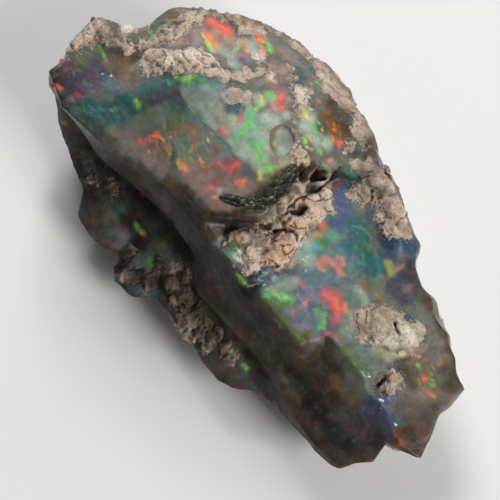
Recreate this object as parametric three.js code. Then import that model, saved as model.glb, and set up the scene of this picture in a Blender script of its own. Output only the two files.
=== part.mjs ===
// Rough precious opal, one broken nodule with its rhyolite matrix still grown on: a three.js model in millimetres.
//
// Frame: +X runs along the stone from the thick head to the thin tail, -Y is the broken, undercut front,
// +Y the rounded back with the crust, +Z up. The stone stands on a flat break at z = 0, and the origin is
// there, under the middle of its box.
//
// The stone is a solid field, negative inside. Its walls follow outlines, its crown and its underside are cut
// by flat breaks, and lumps, pits and ridges raise or lower that surface. Dual contouring turns the field
// into flat faces.
import * as THREE from "three";
import { ImprovedNoise } from "three/addons/math/ImprovedNoise.js";

// ---------- driving dimensions ----------
const LENGTH = 36.3; // along X
const DEPTH = 20.2; // along Y, shelf to back
const HEIGHT = 10.9; // base to the head's crest
const CELL = 0.66; // edge of a contouring cell
const MARGIN = 1.5; // free room round the stone in the contouring grid
const ROUNDING = 0.5; // how softly two breaks of the crown meet

// ---------- outlines ----------
// The stone from above: head end, back and tail, closed far in front, where the front profiles cut it.
const PLAN = [
  [-17.2, -14], [-17.3, -4.4], [-18.0, -2.6], [-18.2, 0.1], [-16.3, 1.2], [-15.8, 2.0], [-15.8, 4.1],
  [-14.2, 5.8], [-12.1, 7.6], [-10.8, 8.8], [-8.8, 9.5], [-6.5, 9.8], [-4.4, 9.8], [-1.9, 9.3],
  [1.2, 8.2], [2.9, 7.6], [5.9, 6.6], [7.5, 6.2], [8.4, 4.9], [10.2, 4.0], [12.8, 3.8],
  [14.8, 2.9], [16.2, 2.1], [16.4, -0.1], [17.4, -1.8], [18.2, -3.2], [17.0, -3.9], [15.9, -4.3],
  [16.4, -5.5], [15.3, -6.9], [14.9, -14],
];

// How far the wall is drawn in, under the stone and towards its crown, at each height: [z, inset].
const DRAWN_IN = [
  [0, 4.6], [1.2, 2.3], [2.5, 1.0], [4, 0.2], [5.5, 0], [7, 0.2], [8.5, 0.7], [HEIGHT, 1.6],
];

// The front wall's edge at each height, as [x, y] points.
const FRONT = [
  { z: 0, edge: [[-14, -1], [-10, -4.2], [-4, -5.4], [5, -4.8], [11, -3.6], [14, -1]] },
  { z: 1.2, edge: [[-17, -4], [-13, -5.6], [-9, -7.4], [-4, -8.2], [2, -7.4], [7, -6.8], [13, -6.6], [17, -4]] },
  {
    // the crusted shelf's rim
    z: 2.4,
    edge: [
      [-17, -5.2], [-13.3, -6.6], [-10.8, -7.3], [-9.9, -8.6], [-8.4, -9.0], [-6.8, -8.9], [-6.1, -8.1],
      [-4.7, -9.8], [-3.1, -9.7], [-1.9, -8.5], [1.1, -8.5], [3.9, -8.7], [6.4, -8.5], [7.6, -7.6],
      [9.1, -7.3], [11.0, -7.3], [14.1, -7.4], [18, -7.4],
    ],
  },
  {
    // the shelf's inner edge
    z: 3.3,
    edge: [
      [-17, -5.0], [-12.5, -5.8], [-8, -6.2], [-5, -6.2], [0, -6.7], [3.7, -6.5], [6.1, -6.5],
      [9.3, -7.0], [14, -6.9], [18, -6.8],
    ],
  },
  {
    // the groove under the head, and the glassy ridge in front of the tail
    z: 4.2,
    edge: [
      [-17, -4.8], [-12.5, -4.8], [-8, -4.3], [-5, -4.1], [-2.5, -4.7], [0.2, -6.4], [2.4, -6.2],
      [5.6, -6.1], [8.5, -6.4], [12, -6.2], [14, -5.8], [16, -4.4], [18, -4.2],
    ],
  },
  {
    // the foot of the brown wall
    z: 5.4,
    edge: [
      [-17, -5.1], [-11.6, -5.8], [-7.9, -5.5], [-6, -5.3], [-4.4, -5.0], [-2.6, -5.2], [0, -5.5],
      [5, -5.4], [8.5, -5.3], [10.8, -4.6], [12.8, -4.2], [14.3, -3.2], [18, -3],
    ],
  },
  {
    z: 7,
    edge: [
      [-17, -5.2], [-14, -5.9], [-10.5, -6.0], [-7.5, -5.5], [-5.2, -4.6], [-3.5, -4.2], [-1.6, -4.5],
      [1, -4.7], [4, -4.8], [8, -4.8], [8.7, -2.9], [12.5, -2.5], [18, -2.5],
    ],
  },
  {
    // the head's front edge
    z: 8.8,
    edge: [
      [-17, -5.0], [-16.1, -5.5], [-13.7, -6.3], [-10.5, -6.2], [-7.8, -5.6], [-5.8, -4.9], [-4, -4.3],
      [-2, -4.2], [8, -4.8], [8.7, -2.9], [12.5, -2.5], [18, -2.5],
    ],
  },
];

// ---------- breaks of the crown ----------
// Each break is a plane through (x, y, z) with its slopes along X and Y.
const HEAD_BREAKS = [
  { x: -6, y: -4.6, z: 9.1, slope: [0.02, 0.28] }, // broad front face
  { x: -13, y: -1, z: 9.3, slope: [0.3, 0.05] }, // head end
  { x: -6, y: 1.5, z: 10.6, slope: [-0.02, -0.42] }, // back slope
  { x: -4, y: -1, z: 10.1, slope: [-0.22, 0.05] }, // towards the step
  { x: -6, y: 7.6, z: 8.0, slope: [0.0, -1.2] }, // back rim
  { x: -1, y: 6, z: 8.3, slope: [-0.6, -0.3] }, // down to the tail's rim
];
const TAIL_BREAKS = [
  { x: 3, y: 0, z: 7.4, slope: [-0.11, -0.04] }, // long tail face
  { x: 6, y: 2, z: 7.0, slope: [-0.1, -0.25] }, // blue face, tilted to the back
  { x: 4, y: 6.0, z: 6.8, slope: [-0.15, -1.0] }, // back rim
  { x: 13, y: -1, z: 6.0, slope: [-0.42, -0.1] }, // tail end
];
// The underside lies above these.
const UNDER_BREAKS = [
  { x: -8.5, y: 0, z: 0, slope: [-0.2, -0.05] }, // head end
  { x: 8.5, y: 0, z: 0, slope: [0.19, 0.04] }, // tail end
  { x: 0, y: 3.6, z: 0, slope: [0.02, 0.3] }, // back
  { x: 0, y: -4.4, z: 0, slope: [-0.02, -0.22] }, // front
];

// Where the head's layer ends above the tail, as [y, x].
const HEAD_STEP = [
  [-6, -1.9], [-4.2, -1.9], [-3.5, -1.1], [-1.4, 0.2], [0.5, 0.3], [2, 0], [3.3, -0.1], [5, 1.0], [8, 1.6], [12, 1.6],
];

// ---------- relief ----------
// Crust lumps: [x, y, z, radius, lift]. The surface is rough over them.
const BROW_CRUST = [
  [-17.1, -2.1, 8.2, 1.6, 0.4], [-16.4, -0.8, 8.5, 1.5, 0.5], [-14.8, -0.9, 8.9, 1.6, 0.4],
];
const CROWN_CRUST = [
  [-12.4, 0.8, 9.5, 1.5, 0.35], [-13.9, 3.0, 8.8, 1.4, 0.3], [-10.6, 1.5, 9.9, 1.6, 0.45],
  [-9.2, 2.2, 10.1, 1.4, 0.35], [-7.1, 2.5, 10.2, 1.5, 0.35], [-5.7, 4.7, 9.6, 1.6, 0.35],
];
const SEAM_CRUST = [
  [-4.2, 5.8, 9.0, 1.2, 0.3], [-2.3, 4.6, 9.0, 1.1, 0.3], [-1.2, 3.2, 9.1, 1.2, 0.35],
];
const RIM_CRUST = [
  [-4.2, 8.2, 8.0, 1.6, 0.35], [-2.6, 8.4, 7.2, 1.6, 0.4], [-0.8, 7.8, 6.9, 1.5, 0.45], [0.8, 7.7, 6.4, 1.5, 0.6],
  [2.0, 6.2, 6.8, 1.4, 0.7], [3.4, 6.4, 6.5, 1.6, 0.9], [5.1, 5.6, 6.4, 1.5, 0.9], [6.2, 5.0, 6.2, 1.2, 0.6],
  [10.9, 3.6, 5.4, 1.3, 0.4], [13.2, 2.8, 5.0, 1.4, 0.4],
];
const TAIL_CRUST = [
  [9.8, -0.6, 6.7, 1.3, 0.35], [10.8, 0.6, 6.6, 1.6, 0.5], [11.9, 1.6, 6.2, 1.4, 0.45], [13.1, -1.7, 6.0, 0.9, 0.4],
];
const NOTCH_CRUST = [
  [-0.2, 1.7, 8.0, 0.9, 0.6], [0.5, -0.1, 7.7, 1.1, 0.7], [0.6, -1.7, 7.6, 1.0, 0.5], [1.6, 0.6, 7.6, 1.2, 0.6],
  [1.5, 2.1, 7.7, 1.2, 0.7], [2.4, -1.6, 7.5, 1.1, 0.5], [2.9, -0.4, 7.5, 1.0, 0.4], [1.5, -3.5, 7.5, 1.0, 0.4],
  [2.7, -3.4, 7.4, 0.9, 0.4], [0.3, -3.3, 7.6, 0.9, 0.4], [1.4, -2.4, 7.5, 0.9, 0.3],
];
const SHELF_CRUST = [
  [-9.6, -8.0, 3.0, 1.6, 0.4], [-7.3, -8.6, 2.8, 1.3, 0.3], [-3.9, -9.6, 2.4, 1.4, 0.4], [-3.9, -7.5, 2.8, 1.2, 0.5],
  [-1.4, -7.5, 2.8, 1.3, 0.5], [1.1, -7.8, 2.7, 1.3, 0.5], [3.5, -7.9, 2.7, 1.4, 0.5], [5.3, -8.2, 2.4, 1.2, 0.4],
  [-9.3, -6.4, 3.4, 1.1, 0.4], [-6.4, -6.3, 3.4, 1.1, 0.4], [-2.6, -9.0, 2.4, 1.1, 0.3], [12.4, -7.0, 2.8, 1.0, 0.3],
];
const BACK_CRUST = [
  [-18.0, -1.2, 4.5, 2.2, 0.5], [-16.0, 3.0, 4.2, 2.4, 0.4], [-13.2, 6.8, 4.4, 2.2, 0.6], [-9.6, 9.0, 3.6, 2.6, 0.5],
  [-5.4, 9.4, 4.6, 2.2, 0.5], [-1.6, 9.0, 3.4, 2.4, 0.6], [2.4, 7.4, 4.4, 2.2, 0.5], [6.4, 6.0, 3.2, 2.4, 0.5],
  [11.2, 3.6, 3.2, 2.2, 0.4], [15.8, 1.4, 3.0, 2.0, 0.4], [-8.0, 5.6, 1.0, 2.4, 0.5], [3.4, 4.4, 1.0, 2.4, 0.4],
  [-12.4, -4.6, 1.0, 2.2, 0.4], [1.2, -7.4, 1.0, 2.2, 0.4], [9.0, -6.0, 1.0, 2.0, 0.4],
];
const CRUST = [
  ...BROW_CRUST, ...CROWN_CRUST, ...SEAM_CRUST, ...RIM_CRUST, ...TAIL_CRUST, ...NOTCH_CRUST, ...SHELF_CRUST,
  ...BACK_CRUST,
];
const CRUST_ROUGHNESS = { wave: 1.5, height: 0.3 };

// Pits: [x, y, z, radius, lift].
const PITS = [
  [-2.65, 2.55, 9.9, 1.1, -0.8], // round gas pit in the head
  [12.9, -2.5, 6.0, 0.75, -0.7], // cavity in the tail
  [-6.1, -7.2, 3.0, 1.2, -0.8], // hole in the shelf
  [-0.4, -3.8, 8.0, 1.1, -0.7], // under the ledge
  [0.6, 3.9, 8.2, 1.2, -0.9], // crevice beside the root
  [3.0, -4.5, 7.2, 0.9, -0.5], // crevice where the crust meets the wall
];

// Ridges and furrows: a line of [x, y, z] points with a radius and a lift.
const RIDGES = [
  {
    // dark fibrous root along the step
    line: [[-2.0, -2.9, 9.3], [-1.0, -2.3, 9.1], [0.3, -1.5, 8.8], [0.3, 0.4, 8.9], [0.0, 1.9, 9.0], [-0.1, 3.3, 8.9]],
    radius: 0.95,
    lift: 0.6,
  },
  {
    // glassy ridge at the foot of the tail's wall
    line: [[0.2, -6.5, 4.0], [2.4, -6.2, 4.0], [5.6, -6.1, 4.0], [8.5, -6.4, 3.8], [10.6, -7.0, 3.4], [14.8, -6.9, 3.0]],
    radius: 0.9,
    lift: 0.35,
  },
  {
    // furrow between the shelf's layers
    line: [[-12.0, -6.4, 3.0], [-8.6, -7.0, 3.1], [-5.4, -6.9, 3.1], [-2.2, -8.0, 2.8]],
    radius: 0.8,
    lift: -0.45,
  },
  {
    // crest of the crusted tail rim
    line: [[1.6, 7.4, 6.6], [3.4, 6.5, 6.6], [5.2, 5.7, 6.5], [6.6, 5.1, 6.2]],
    radius: 1.2,
    lift: 0.4,
  },
];

// How far the front wall's layers wander up and down.
const FRONT_WARP = { wave: 5.7, height: 0.35 };

// Unevenness of the broken surface: wavelength and height of each layer.
const UNEVEN = [
  { wave: 5.2, height: 0.3 },
  { wave: 1.9, height: 0.1 },
];

// ---------- the field ----------
const clamp01 = (t) => Math.min(1, Math.max(0, t));
const mix = (a, b, t) => a + (b - a) * t;

// Straight-line table lookup in rows of [at, value], held at its two ends.
function lookup(rows, at) {
  if (at <= rows[0][0]) return rows[0][1];
  for (let i = 1; i < rows.length; i++)
    if (at <= rows[i][0])
      return mix(rows[i - 1][1], rows[i][1], (at - rows[i - 1][0]) / (rows[i][0] - rows[i - 1][0]));
  return rows[rows.length - 1][1];
}

// Signed distance to a closed outline, negative inside.
function outlineDistance(outline, x, y) {
  let nearest = Infinity;
  let inside = false;
  for (let i = 0, j = outline.length - 1; i < outline.length; j = i++) {
    const [ax, ay] = outline[j];
    const [bx, by] = outline[i];
    const t = clamp01(((x - ax) * (bx - ax) + (y - ay) * (by - ay)) / ((bx - ax) ** 2 + (by - ay) ** 2));
    nearest = Math.min(nearest, Math.hypot(x - mix(ax, bx, t), y - mix(ay, by, t)));
    if (ay > y !== by > y && x < ax + ((y - ay) / (by - ay)) * (bx - ax)) inside = !inside;
  }
  return inside ? -nearest : nearest;
}

// The front edge's y at x, between the two profiles that z lies between.
function frontEdge(x, z) {
  let i = 1;
  while (i < FRONT.length - 1 && FRONT[i].z < z) i++;
  const [low, high] = [FRONT[i - 1], FRONT[i]];
  const t = clamp01((z - low.z) / (high.z - low.z));
  return mix(lookup(low.edge, x), lookup(high.edge, x), t);
}

const planeHeight = (p, x, y) => p.z + p.slope[0] * (x - p.x) + p.slope[1] * (y - p.y);

// The lower of two heights, rounded where they meet.
function softMin(a, b, round) {
  const h = clamp01(0.5 + (0.5 * (b - a)) / round);
  return mix(b, a, h) - round * h * (1 - h);
}

const crownHeight = (breaks, x, y) =>
  breaks.map((p) => planeHeight(p, x, y)).reduce((a, b) => softMin(a, b, ROUNDING));

function crownDistance(x, y, z) {
  const head = Math.max(z - crownHeight(HEAD_BREAKS, x, y), x - lookup(HEAD_STEP, y));
  return Math.min(head, z - crownHeight(TAIL_BREAKS, x, y));
}

const underHeight = (x, y) =>
  -UNDER_BREAKS.map((p) => -planeHeight(p, x, y)).reduce((a, b) => softMin(a, b, ROUNDING));

// Full inside the core of a feature, fading to nothing at its radius.
function falloff(distance, radius) {
  const t = clamp01(1 - distance / radius);
  return t * t * (3 - 2 * t);
}

function lineDistance(line, p) {
  const segment = new THREE.Line3();
  const foot = new THREE.Vector3();
  let nearest = Infinity;
  for (let i = 1; i < line.length; i++) {
    segment.start.fromArray(line[i - 1]);
    segment.end.fromArray(line[i]);
    segment.closestPointToPoint(p, true, foot);
    nearest = Math.min(nearest, foot.distanceTo(p));
  }
  return nearest;
}

const noise = new ImprovedNoise();
const uneven = (p, { wave, height }) => height * noise.noise(p.x / wave, p.y / wave, p.z / wave);

const spotFalloff = (p, [x, y, z, radius]) => falloff(Math.hypot(p.x - x, p.y - y, p.z - z), radius * 1.3);

function relief(p) {
  let lift = 0;
  let crust = 0;
  for (const lump of CRUST) {
    const here = spotFalloff(p, lump);
    lift += lump[4] * here;
    crust += here;
  }
  lift += clamp01(2 * crust) * uneven(p, CRUST_ROUGHNESS);
  for (const pit of PITS) lift += pit[4] * spotFalloff(p, pit);
  for (const ridge of RIDGES) lift += ridge.lift * falloff(lineDistance(ridge.line, p), ridge.radius);
  for (const layer of UNEVEN) lift += uneven(p, layer);
  return lift;
}

function stone(p) {
  const layer = p.z + uneven(p, FRONT_WARP);
  const side = Math.max(outlineDistance(PLAN, p.x, p.y) + lookup(DRAWN_IN, p.z), frontEdge(p.x, layer) - p.y);
  const body = Math.max(side, crownDistance(p.x, p.y, p.z), underHeight(p.x, p.y) - p.z);
  return Math.max(body - relief(p), -p.z);
}

// ---------- dual contouring ----------
// A vertex for every sheet of the surface in a cell, set where the sheet's tangent planes meet,
// and a face round every grid edge that the surface crosses.
const SLIDE = 0.08; // pull towards the middle of the crossings, where the planes leave a vertex free
const REACH = 0.8; // how far a vertex may lie from that middle, in cells
const FLAT = 0.04; // a vertex this close to the base lies in it

function contour(field, low, high, cell) {
  const count = [0, 1, 2].map((k) => Math.ceil((high[k] - low[k]) / cell) + 1);
  const node = ([i, j, k]) => i + count[0] * (j + count[1] * k);
  const place = ([i, j, k]) => new THREE.Vector3(low[0] + i * cell, low[1] + j * cell, low[2] + k * cell);
  const nodes = [];
  for (let k = 0; k < count[2]; k++)
    for (let j = 0; j < count[1]; j++) for (let i = 0; i < count[0]; i++) nodes.push([i, j, k]);
  const value = nodes.map((n) => field(place(n)));

  // where the surface crosses the grid's edges
  const crossings = new Map();
  const cells = new Map();
  for (const n of nodes)
    for (let axis = 0; axis < 3; axis++) {
      const end = step(n, axis, 1);
      if (end[axis] >= count[axis]) continue;
      const a = value[node(n)];
      const b = value[node(end)];
      if (a < 0 === b < 0) continue;
      const point = place(n).lerp(place(end), a / (a - b));
      const [u, v] = [(axis + 1) % 3, (axis + 2) % 3];
      const ring = [n, step(n, u, -1), step(step(n, u, -1), v, -1), step(n, v, -1)];
      for (const c of ring) cells.set(node(c), c);
      crossings.set(3 * node(n) + axis, { point, normal: slope(field, point), ring, flip: a >= 0 });
    }

  const grid = { node, value, crossings, joined: new Set() };
  let sheets;
  let pinched;
  do {
    sheets = new Map([...cells].map(([id, c]) => [id, sheetsOf(c, grid)]));
    pinched = [...cells.values()].flatMap((c) => pinchedFaces(c, grid, sheets));
    for (const face of pinched) grid.joined.add(face);
  } while (pinched.length);

  const vertexOf = new Map();
  const points = [];
  for (const [id, edges] of sheets)
    for (const sheet of new Set(edges.values())) {
      vertexOf.set(`${id}/${sheet}`, points.length);
      const members = [...edges.keys()].filter((e) => edges.get(e) === sheet).map((e) => crossings.get(e));
      points.push(meetingPoint(members, cell));
    }
  const quads = [...crossings].map(([edge, { ring, flip }]) => {
    const corners = ring.map((c) => vertexOf.get(`${node(c)}/${sheets.get(node(c)).get(edge)}`));
    return flip ? corners.reverse() : corners;
  });
  return { points, quads };
}

function step(n, axis, by) {
  const moved = [...n];
  moved[axis] += by;
  return moved;
}

// The six faces of a cell: each one's id, four corners in turn, and the edge after each corner.
function cellFaces(c, { node }) {
  const faces = [];
  for (let axis = 0; axis < 3; axis++)
    for (const side of [0, 1]) {
      const [u, v] = [(axis + 1) % 3, (axis + 2) % 3];
      const origin = step(c, axis, side);
      const [along, across] = [step(origin, u, 1), step(origin, v, 1)];
      faces.push({
        id: 3 * node(origin) + axis,
        far: step(c, axis, side ? 1 : -1),
        corners: [origin, along, step(along, v, 1), across].map(node),
        edges: [3 * node(origin) + u, 3 * node(along) + v, 3 * node(across) + u, 3 * node(origin) + v],
      });
    }
  return faces;
}

// Which sheet of the surface each crossed edge of a cell belongs to.
function sheetsOf(c, grid) {
  const sheet = new Map();
  const join = (a, b) => {
    const [from, to] = [sheet.get(a), sheet.get(b)];
    for (const [e, s] of sheet) if (s === from) sheet.set(e, to);
  };
  const faces = cellFaces(c, grid).map((f) => ({ ...f, crossed: f.edges.filter((e) => grid.crossings.has(e)) }));
  for (const f of faces) for (const e of f.crossed) sheet.set(e, e);
  for (const { id, corners, edges, crossed } of faces) {
    if (crossed.length === 2) join(...crossed);
    if (crossed.length < 4) continue;
    // two sheets cross the face: round its inner corners, or round its outer ones
    const first = (grid.value[corners[0]] < 0) === !grid.joined.has(id) ? 3 : 0;
    join(edges[first], edges[(first + 1) % 4]);
    join(edges[(first + 2) % 4], edges[(first + 3) % 4]);
  }
  return sheet;
}

// Faces where both cells would join the same two vertices twice.
function pinchedFaces(c, grid, sheets) {
  return cellFaces(c, grid)
    .filter(({ id, edges, far }) => {
      if (grid.joined.has(id) || !edges.every((e) => grid.crossings.has(e))) return false;
      return [c, far].every((n) => new Set(edges.map((e) => sheets.get(grid.node(n)).get(e))).size === 1);
    })
    .map(({ id }) => id);
}

function slope(field, p) {
  const reach = 0.02;
  const along = (axis) => {
    const a = p.clone();
    const b = p.clone();
    a.setComponent(axis, a.getComponent(axis) - reach);
    b.setComponent(axis, b.getComponent(axis) + reach);
    return field(b) - field(a);
  };
  return new THREE.Vector3(along(0), along(1), along(2)).normalize();
}

// The point nearest to all the tangent planes of a cell, by least squares from the crossings' middle.
function meetingPoint(crossings, cell) {
  const middle = new THREE.Vector3();
  for (const { point } of crossings) middle.addScaledVector(point, 1 / crossings.length);
  const a = new THREE.Matrix3().multiplyScalar(SLIDE);
  const e = a.elements;
  const b = new THREE.Vector3();
  for (const { point, normal } of crossings) {
    const n = normal.toArray();
    for (let r = 0; r < 3; r++) for (let c = 0; c < 3; c++) e[r * 3 + c] += n[r] * n[c];
    b.addScaledVector(normal, normal.dot(point.clone().sub(middle)));
  }
  const shift = b.applyMatrix3(a.invert());
  return middle.add(shift.clampLength(0, cell * REACH));
}

function solidGeometry({ points, quads }, field) {
  const position = new Float32Array(points.flatMap((p) => [p.x, p.y, p.z < FLAT ? 0 : p.z]));
  const offSurface = (a, b) => Math.abs(field(points[a].clone().add(points[b]).multiplyScalar(0.5)));
  const index = quads.flatMap(([a, b, c, d]) =>
    offSurface(a, c) < offSurface(b, d) ? [a, b, c, a, c, d] : [a, b, d, b, c, d],
  );
  return new THREE.BufferGeometry()
    .setAttribute("position", new THREE.BufferAttribute(position, 3))
    .setIndex(index);
}

// ---------- the part ----------
function roughOpal() {
  const low = [-LENGTH / 2 - MARGIN, -DEPTH / 2 - MARGIN, -CELL / 2];
  const high = [LENGTH / 2 + MARGIN, DEPTH / 2 + MARGIN, HEIGHT + MARGIN];
  const material = new THREE.MeshStandardMaterial({ color: 0x7d8f8c, roughness: 0.35, metalness: 0 });
  const geometry = solidGeometry(contour(stone, low, high, CELL), stone);
  geometry.computeBoundingBox();
  const middle = geometry.boundingBox.getCenter(new THREE.Vector3());
  geometry.translate(-middle.x, -middle.y, 0);
  geometry.computeVertexNormals();
  const mesh = new THREE.Mesh(geometry, material);
  mesh.name = "rough_opal";
  return mesh;
}

const part = new THREE.Group();
part.add(roughOpal());

export default part;
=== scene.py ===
"""Rough precious opal on its matrix: the looks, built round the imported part.

Lengths are in millimetres unless a comment gives another unit. A pixel position is (x, y) in the
500 x 500 photograph, and it is turned into a point of the stone by seen().
"""
import math

import bmesh
import bpy
import numpy as np
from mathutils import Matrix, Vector, noise
from mathutils.bvhtree import BVHTree


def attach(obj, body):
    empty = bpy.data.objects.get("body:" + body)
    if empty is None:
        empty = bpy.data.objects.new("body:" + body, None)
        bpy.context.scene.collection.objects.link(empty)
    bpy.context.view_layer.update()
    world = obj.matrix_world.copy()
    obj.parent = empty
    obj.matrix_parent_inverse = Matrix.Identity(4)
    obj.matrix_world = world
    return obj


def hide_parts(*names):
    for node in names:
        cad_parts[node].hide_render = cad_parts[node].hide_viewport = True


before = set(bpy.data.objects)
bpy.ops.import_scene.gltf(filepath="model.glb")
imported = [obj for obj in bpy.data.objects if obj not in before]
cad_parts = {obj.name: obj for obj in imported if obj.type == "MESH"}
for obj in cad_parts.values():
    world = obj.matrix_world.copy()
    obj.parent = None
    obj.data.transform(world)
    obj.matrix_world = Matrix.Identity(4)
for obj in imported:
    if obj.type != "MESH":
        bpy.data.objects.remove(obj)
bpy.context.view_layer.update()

MM = 0.001
NODE = "rough_opal"
BODY = "root"
SEED = 4127

# ---------- camera, as in the photograph ----------
IMAGE_SIZE = 500
HALF_IMAGE = IMAGE_SIZE / 2
LENS = 150.0
SENSOR = 36.0
PIXELS_PER_MM = 15.6
AZIMUTH = math.radians(50)
ELEVATION = math.radians(66)
TARGET = np.array([1.127, -2.879, 6.049])
DISTANCE = LENS / SENSOR * IMAGE_SIZE / PIXELS_PER_MM

AHEAD = np.array([
    -math.sin(AZIMUTH) * math.cos(ELEVATION),
    math.cos(AZIMUTH) * math.cos(ELEVATION),
    -math.sin(ELEVATION),
])
ACROSS = np.array([math.cos(AZIMUTH), math.sin(AZIMUTH), 0.0])
UPWARD = np.cross(ACROSS, AHEAD)
EYE = TARGET - AHEAD * DISTANCE

# ---------- crust: x, y and radius in pixels ----------
BROW = (
    (70, 48, 4), (76, 44, 5), (82, 40, 5), (90, 35, 7), (97, 30, 6), (97, 21, 4), (100, 25, 4),
    (92, 28, 5), (105, 34, 7), (113, 38, 6), (122, 42, 6), (128, 48, 3), (123, 28, 5), (131, 29, 3),
)
CROWN = (
    (186, 16, 3), (193, 13, 4), (203, 12, 4), (214, 13, 4), (226, 16, 4), (236, 18, 3.5), (197, 20, 4),
    (190, 22, 5), (184, 27, 4), (177, 30, 5), (167, 35, 6), (157, 40, 7), (148, 46, 5), (150, 55, 7),
    (153, 62, 6), (160, 68, 6), (167, 63, 8), (183, 58, 9), (195, 54, 9), (172, 56, 8), (182, 65, 8),
    (192, 65, 8), (201, 66, 6), (160, 57, 8), (149, 63, 6), (149, 70, 4), (205, 58, 8), (212, 60, 4),
    (175, 68, 5), (188, 69, 4), (204, 70, 4), (212, 73, 5), (223, 74, 6), (237, 76, 6), (250, 74, 6),
    (262, 73, 5), (271, 75, 3), (258, 57, 5), (265, 64, 4), (230, 93, 5.5), (238, 95, 5), (247, 97, 3),
)
SEAM = (
    (290, 67, 1.5), (292, 78, 1.5), (295, 87, 2.5), (301, 92, 5), (306, 88, 3), (300, 100, 4),
    (297, 113, 3.5), (295, 122, 1), (295, 132, 1), (295, 146, 2.5), (298, 154, 4), (301, 161, 4),
)
RIM = (
    (246, 19, 3), (258, 24, 5), (268, 28, 5), (277, 33, 6), (287, 38, 7), (296, 45, 7), (304, 52, 8),
    (313, 60, 9), (320, 68, 9), (324, 78, 8), (327, 88, 6), (336, 96, 4), (352, 106, 3), (359, 118, 6),
    (363, 129, 7), (368, 141, 7), (374, 152, 8), (358, 134, 4), (352, 147, 4),
)
TAIL_RIM = (
    (362, 166, 6), (371, 164, 6), (377, 171, 6), (357, 193, 6), (366, 186, 7), (376, 182, 8),
    (388, 186, 8), (366, 198, 5), (381, 197, 8), (392, 206, 10), (400, 216, 8), (385, 214, 8),
    (391, 227, 7), (399, 229, 8), (408, 233, 5),
)
TAIL_PATCH = (
    (360, 318, 7), (366, 328, 7), (372, 317, 9), (382, 314, 8), (392, 317, 8), (380, 328, 9),
    (393, 330, 10), (405, 333, 9), (413, 338, 9), (418, 330, 7), (398, 343, 8), (388, 340, 6),
    (410, 348, 5), (378, 339, 6), (388, 379, 4), (394, 377, 5), (399, 380, 3), (391, 385, 3),
    (384, 389, 2.5),
)
NOTCH = (
    (299, 170, 5), (308, 178, 6), (318, 184, 8), (327, 182, 5), (300, 186, 7), (297, 197, 8),
    (303, 206, 9), (315, 202, 9), (325, 197, 7), (325, 208, 6), (317, 215, 7), (309, 219, 8),
    (288, 199, 6), (279, 207, 6), (270, 213, 4), (330, 213, 2), (297, 216, 9), (297, 229, 11),
    (283, 212, 6), (270, 216, 5), (265, 222, 5), (273, 228, 8), (285, 240, 12), (276, 250, 10),
    (288, 254, 7), (277, 261, 6), (268, 244, 8), (258, 240, 7), (246, 235, 5), (238, 236, 5),
    (230, 238, 4), (252, 246, 7), (252, 256, 6), (253, 266, 5), (265, 257, 6), (278, 266, 3),
    (226, 243, 3), (306, 230, 4),
)
SHELF = (
    (88, 168, 4), (94, 180, 5), (112, 186, 5), (128, 256, 6), (121, 268, 5), (127, 275, 7),
    (138, 278, 7), (150, 284, 7), (160, 278, 7), (172, 283, 8), (184, 293, 8), (176, 300, 7),
    (190, 303, 8), (186, 315, 8), (196, 318, 8), (206, 324, 8), (214, 336, 8), (224, 346, 8),
    (231, 355, 7), (199, 335, 6), (209, 346, 6), (172, 270, 5), (185, 277, 5), (160, 262, 4),
)
CRUST_SPOTS = BROW + CROWN + SEAM + RIM + TAIL_RIM + TAIL_PATCH + NOTCH + SHELF

# Crust on the sides that the photograph doesn't show: x, y, z and radius in mm.
HIDDEN_CRUST = (
    (-17.6, -1.4, 4.5, 1.9), (-15.6, 2.8, 4.2, 2.1), (-12.8, 6.6, 4.4, 2.0), (-9.2, 8.8, 3.6, 2.3),
    (-5.0, 9.2, 4.6, 2.0), (-1.2, 8.8, 3.4, 2.2), (2.8, 7.2, 4.4, 2.0), (6.4, 5.8, 2.2, 1.7),
    (11.0, 3.4, 1.4, 1.6), (15.2, 0.8, 1.0, 1.2), (-7.6, 5.4, 1.0, 2.3), (3.8, 4.2, 1.0, 2.3),
    (-12.0, -4.8, 1.0, 2.1), (1.6, -7.6, 1.0, 2.1), (9.4, -6.2, 1.0, 1.9), (-3.0, 8.2, 6.6, 1.6),
    (-10.8, 6.4, 7.0, 1.7), (-15.4, 1.6, 7.6, 1.5),
)

# Lumps that stand proud of the crust: x, y and radius in pixels, and height in mm.
LUMPS = (
    (123, 28, 6, 0.2), (97, 24, 4, 0.3), (105, 34, 7, 0.15), (150, 55, 8, 0.2), (167, 63, 7, 0.25),
    (183, 58, 8, 0.3), (196, 54, 7, 0.25), (206, 58, 6, 0.2), (210, 72, 6, 0.12), (236, 75, 6, 0.14),
    (230, 93, 6, 0.15), (297, 188, 7, 0.35), (297, 204, 6, 0.55), (291, 195, 5, 0.30),
    (303, 194, 5, 0.35), (376, 181, 8, 0.3), (392, 208, 11, 0.3), (389, 229, 8, 0.25),
    (403, 226, 7, 0.25), (381, 316, 9, 0.15), (405, 336, 10, 0.25), (388, 331, 8, 0.2),
    (392, 379, 7, 0.25), (420, 332, 6, 0.2), (127, 272, 7, 0.3), (150, 284, 8, 0.25),
    (172, 283, 8, 0.25), (186, 300, 8, 0.25), (206, 324, 8, 0.2), (226, 348, 8, 0.25),
    (325, 76, 9, 0.2), (304, 53, 8, 0.2), (358, 118, 8, 0.2), (369, 146, 8, 0.2),
)

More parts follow.
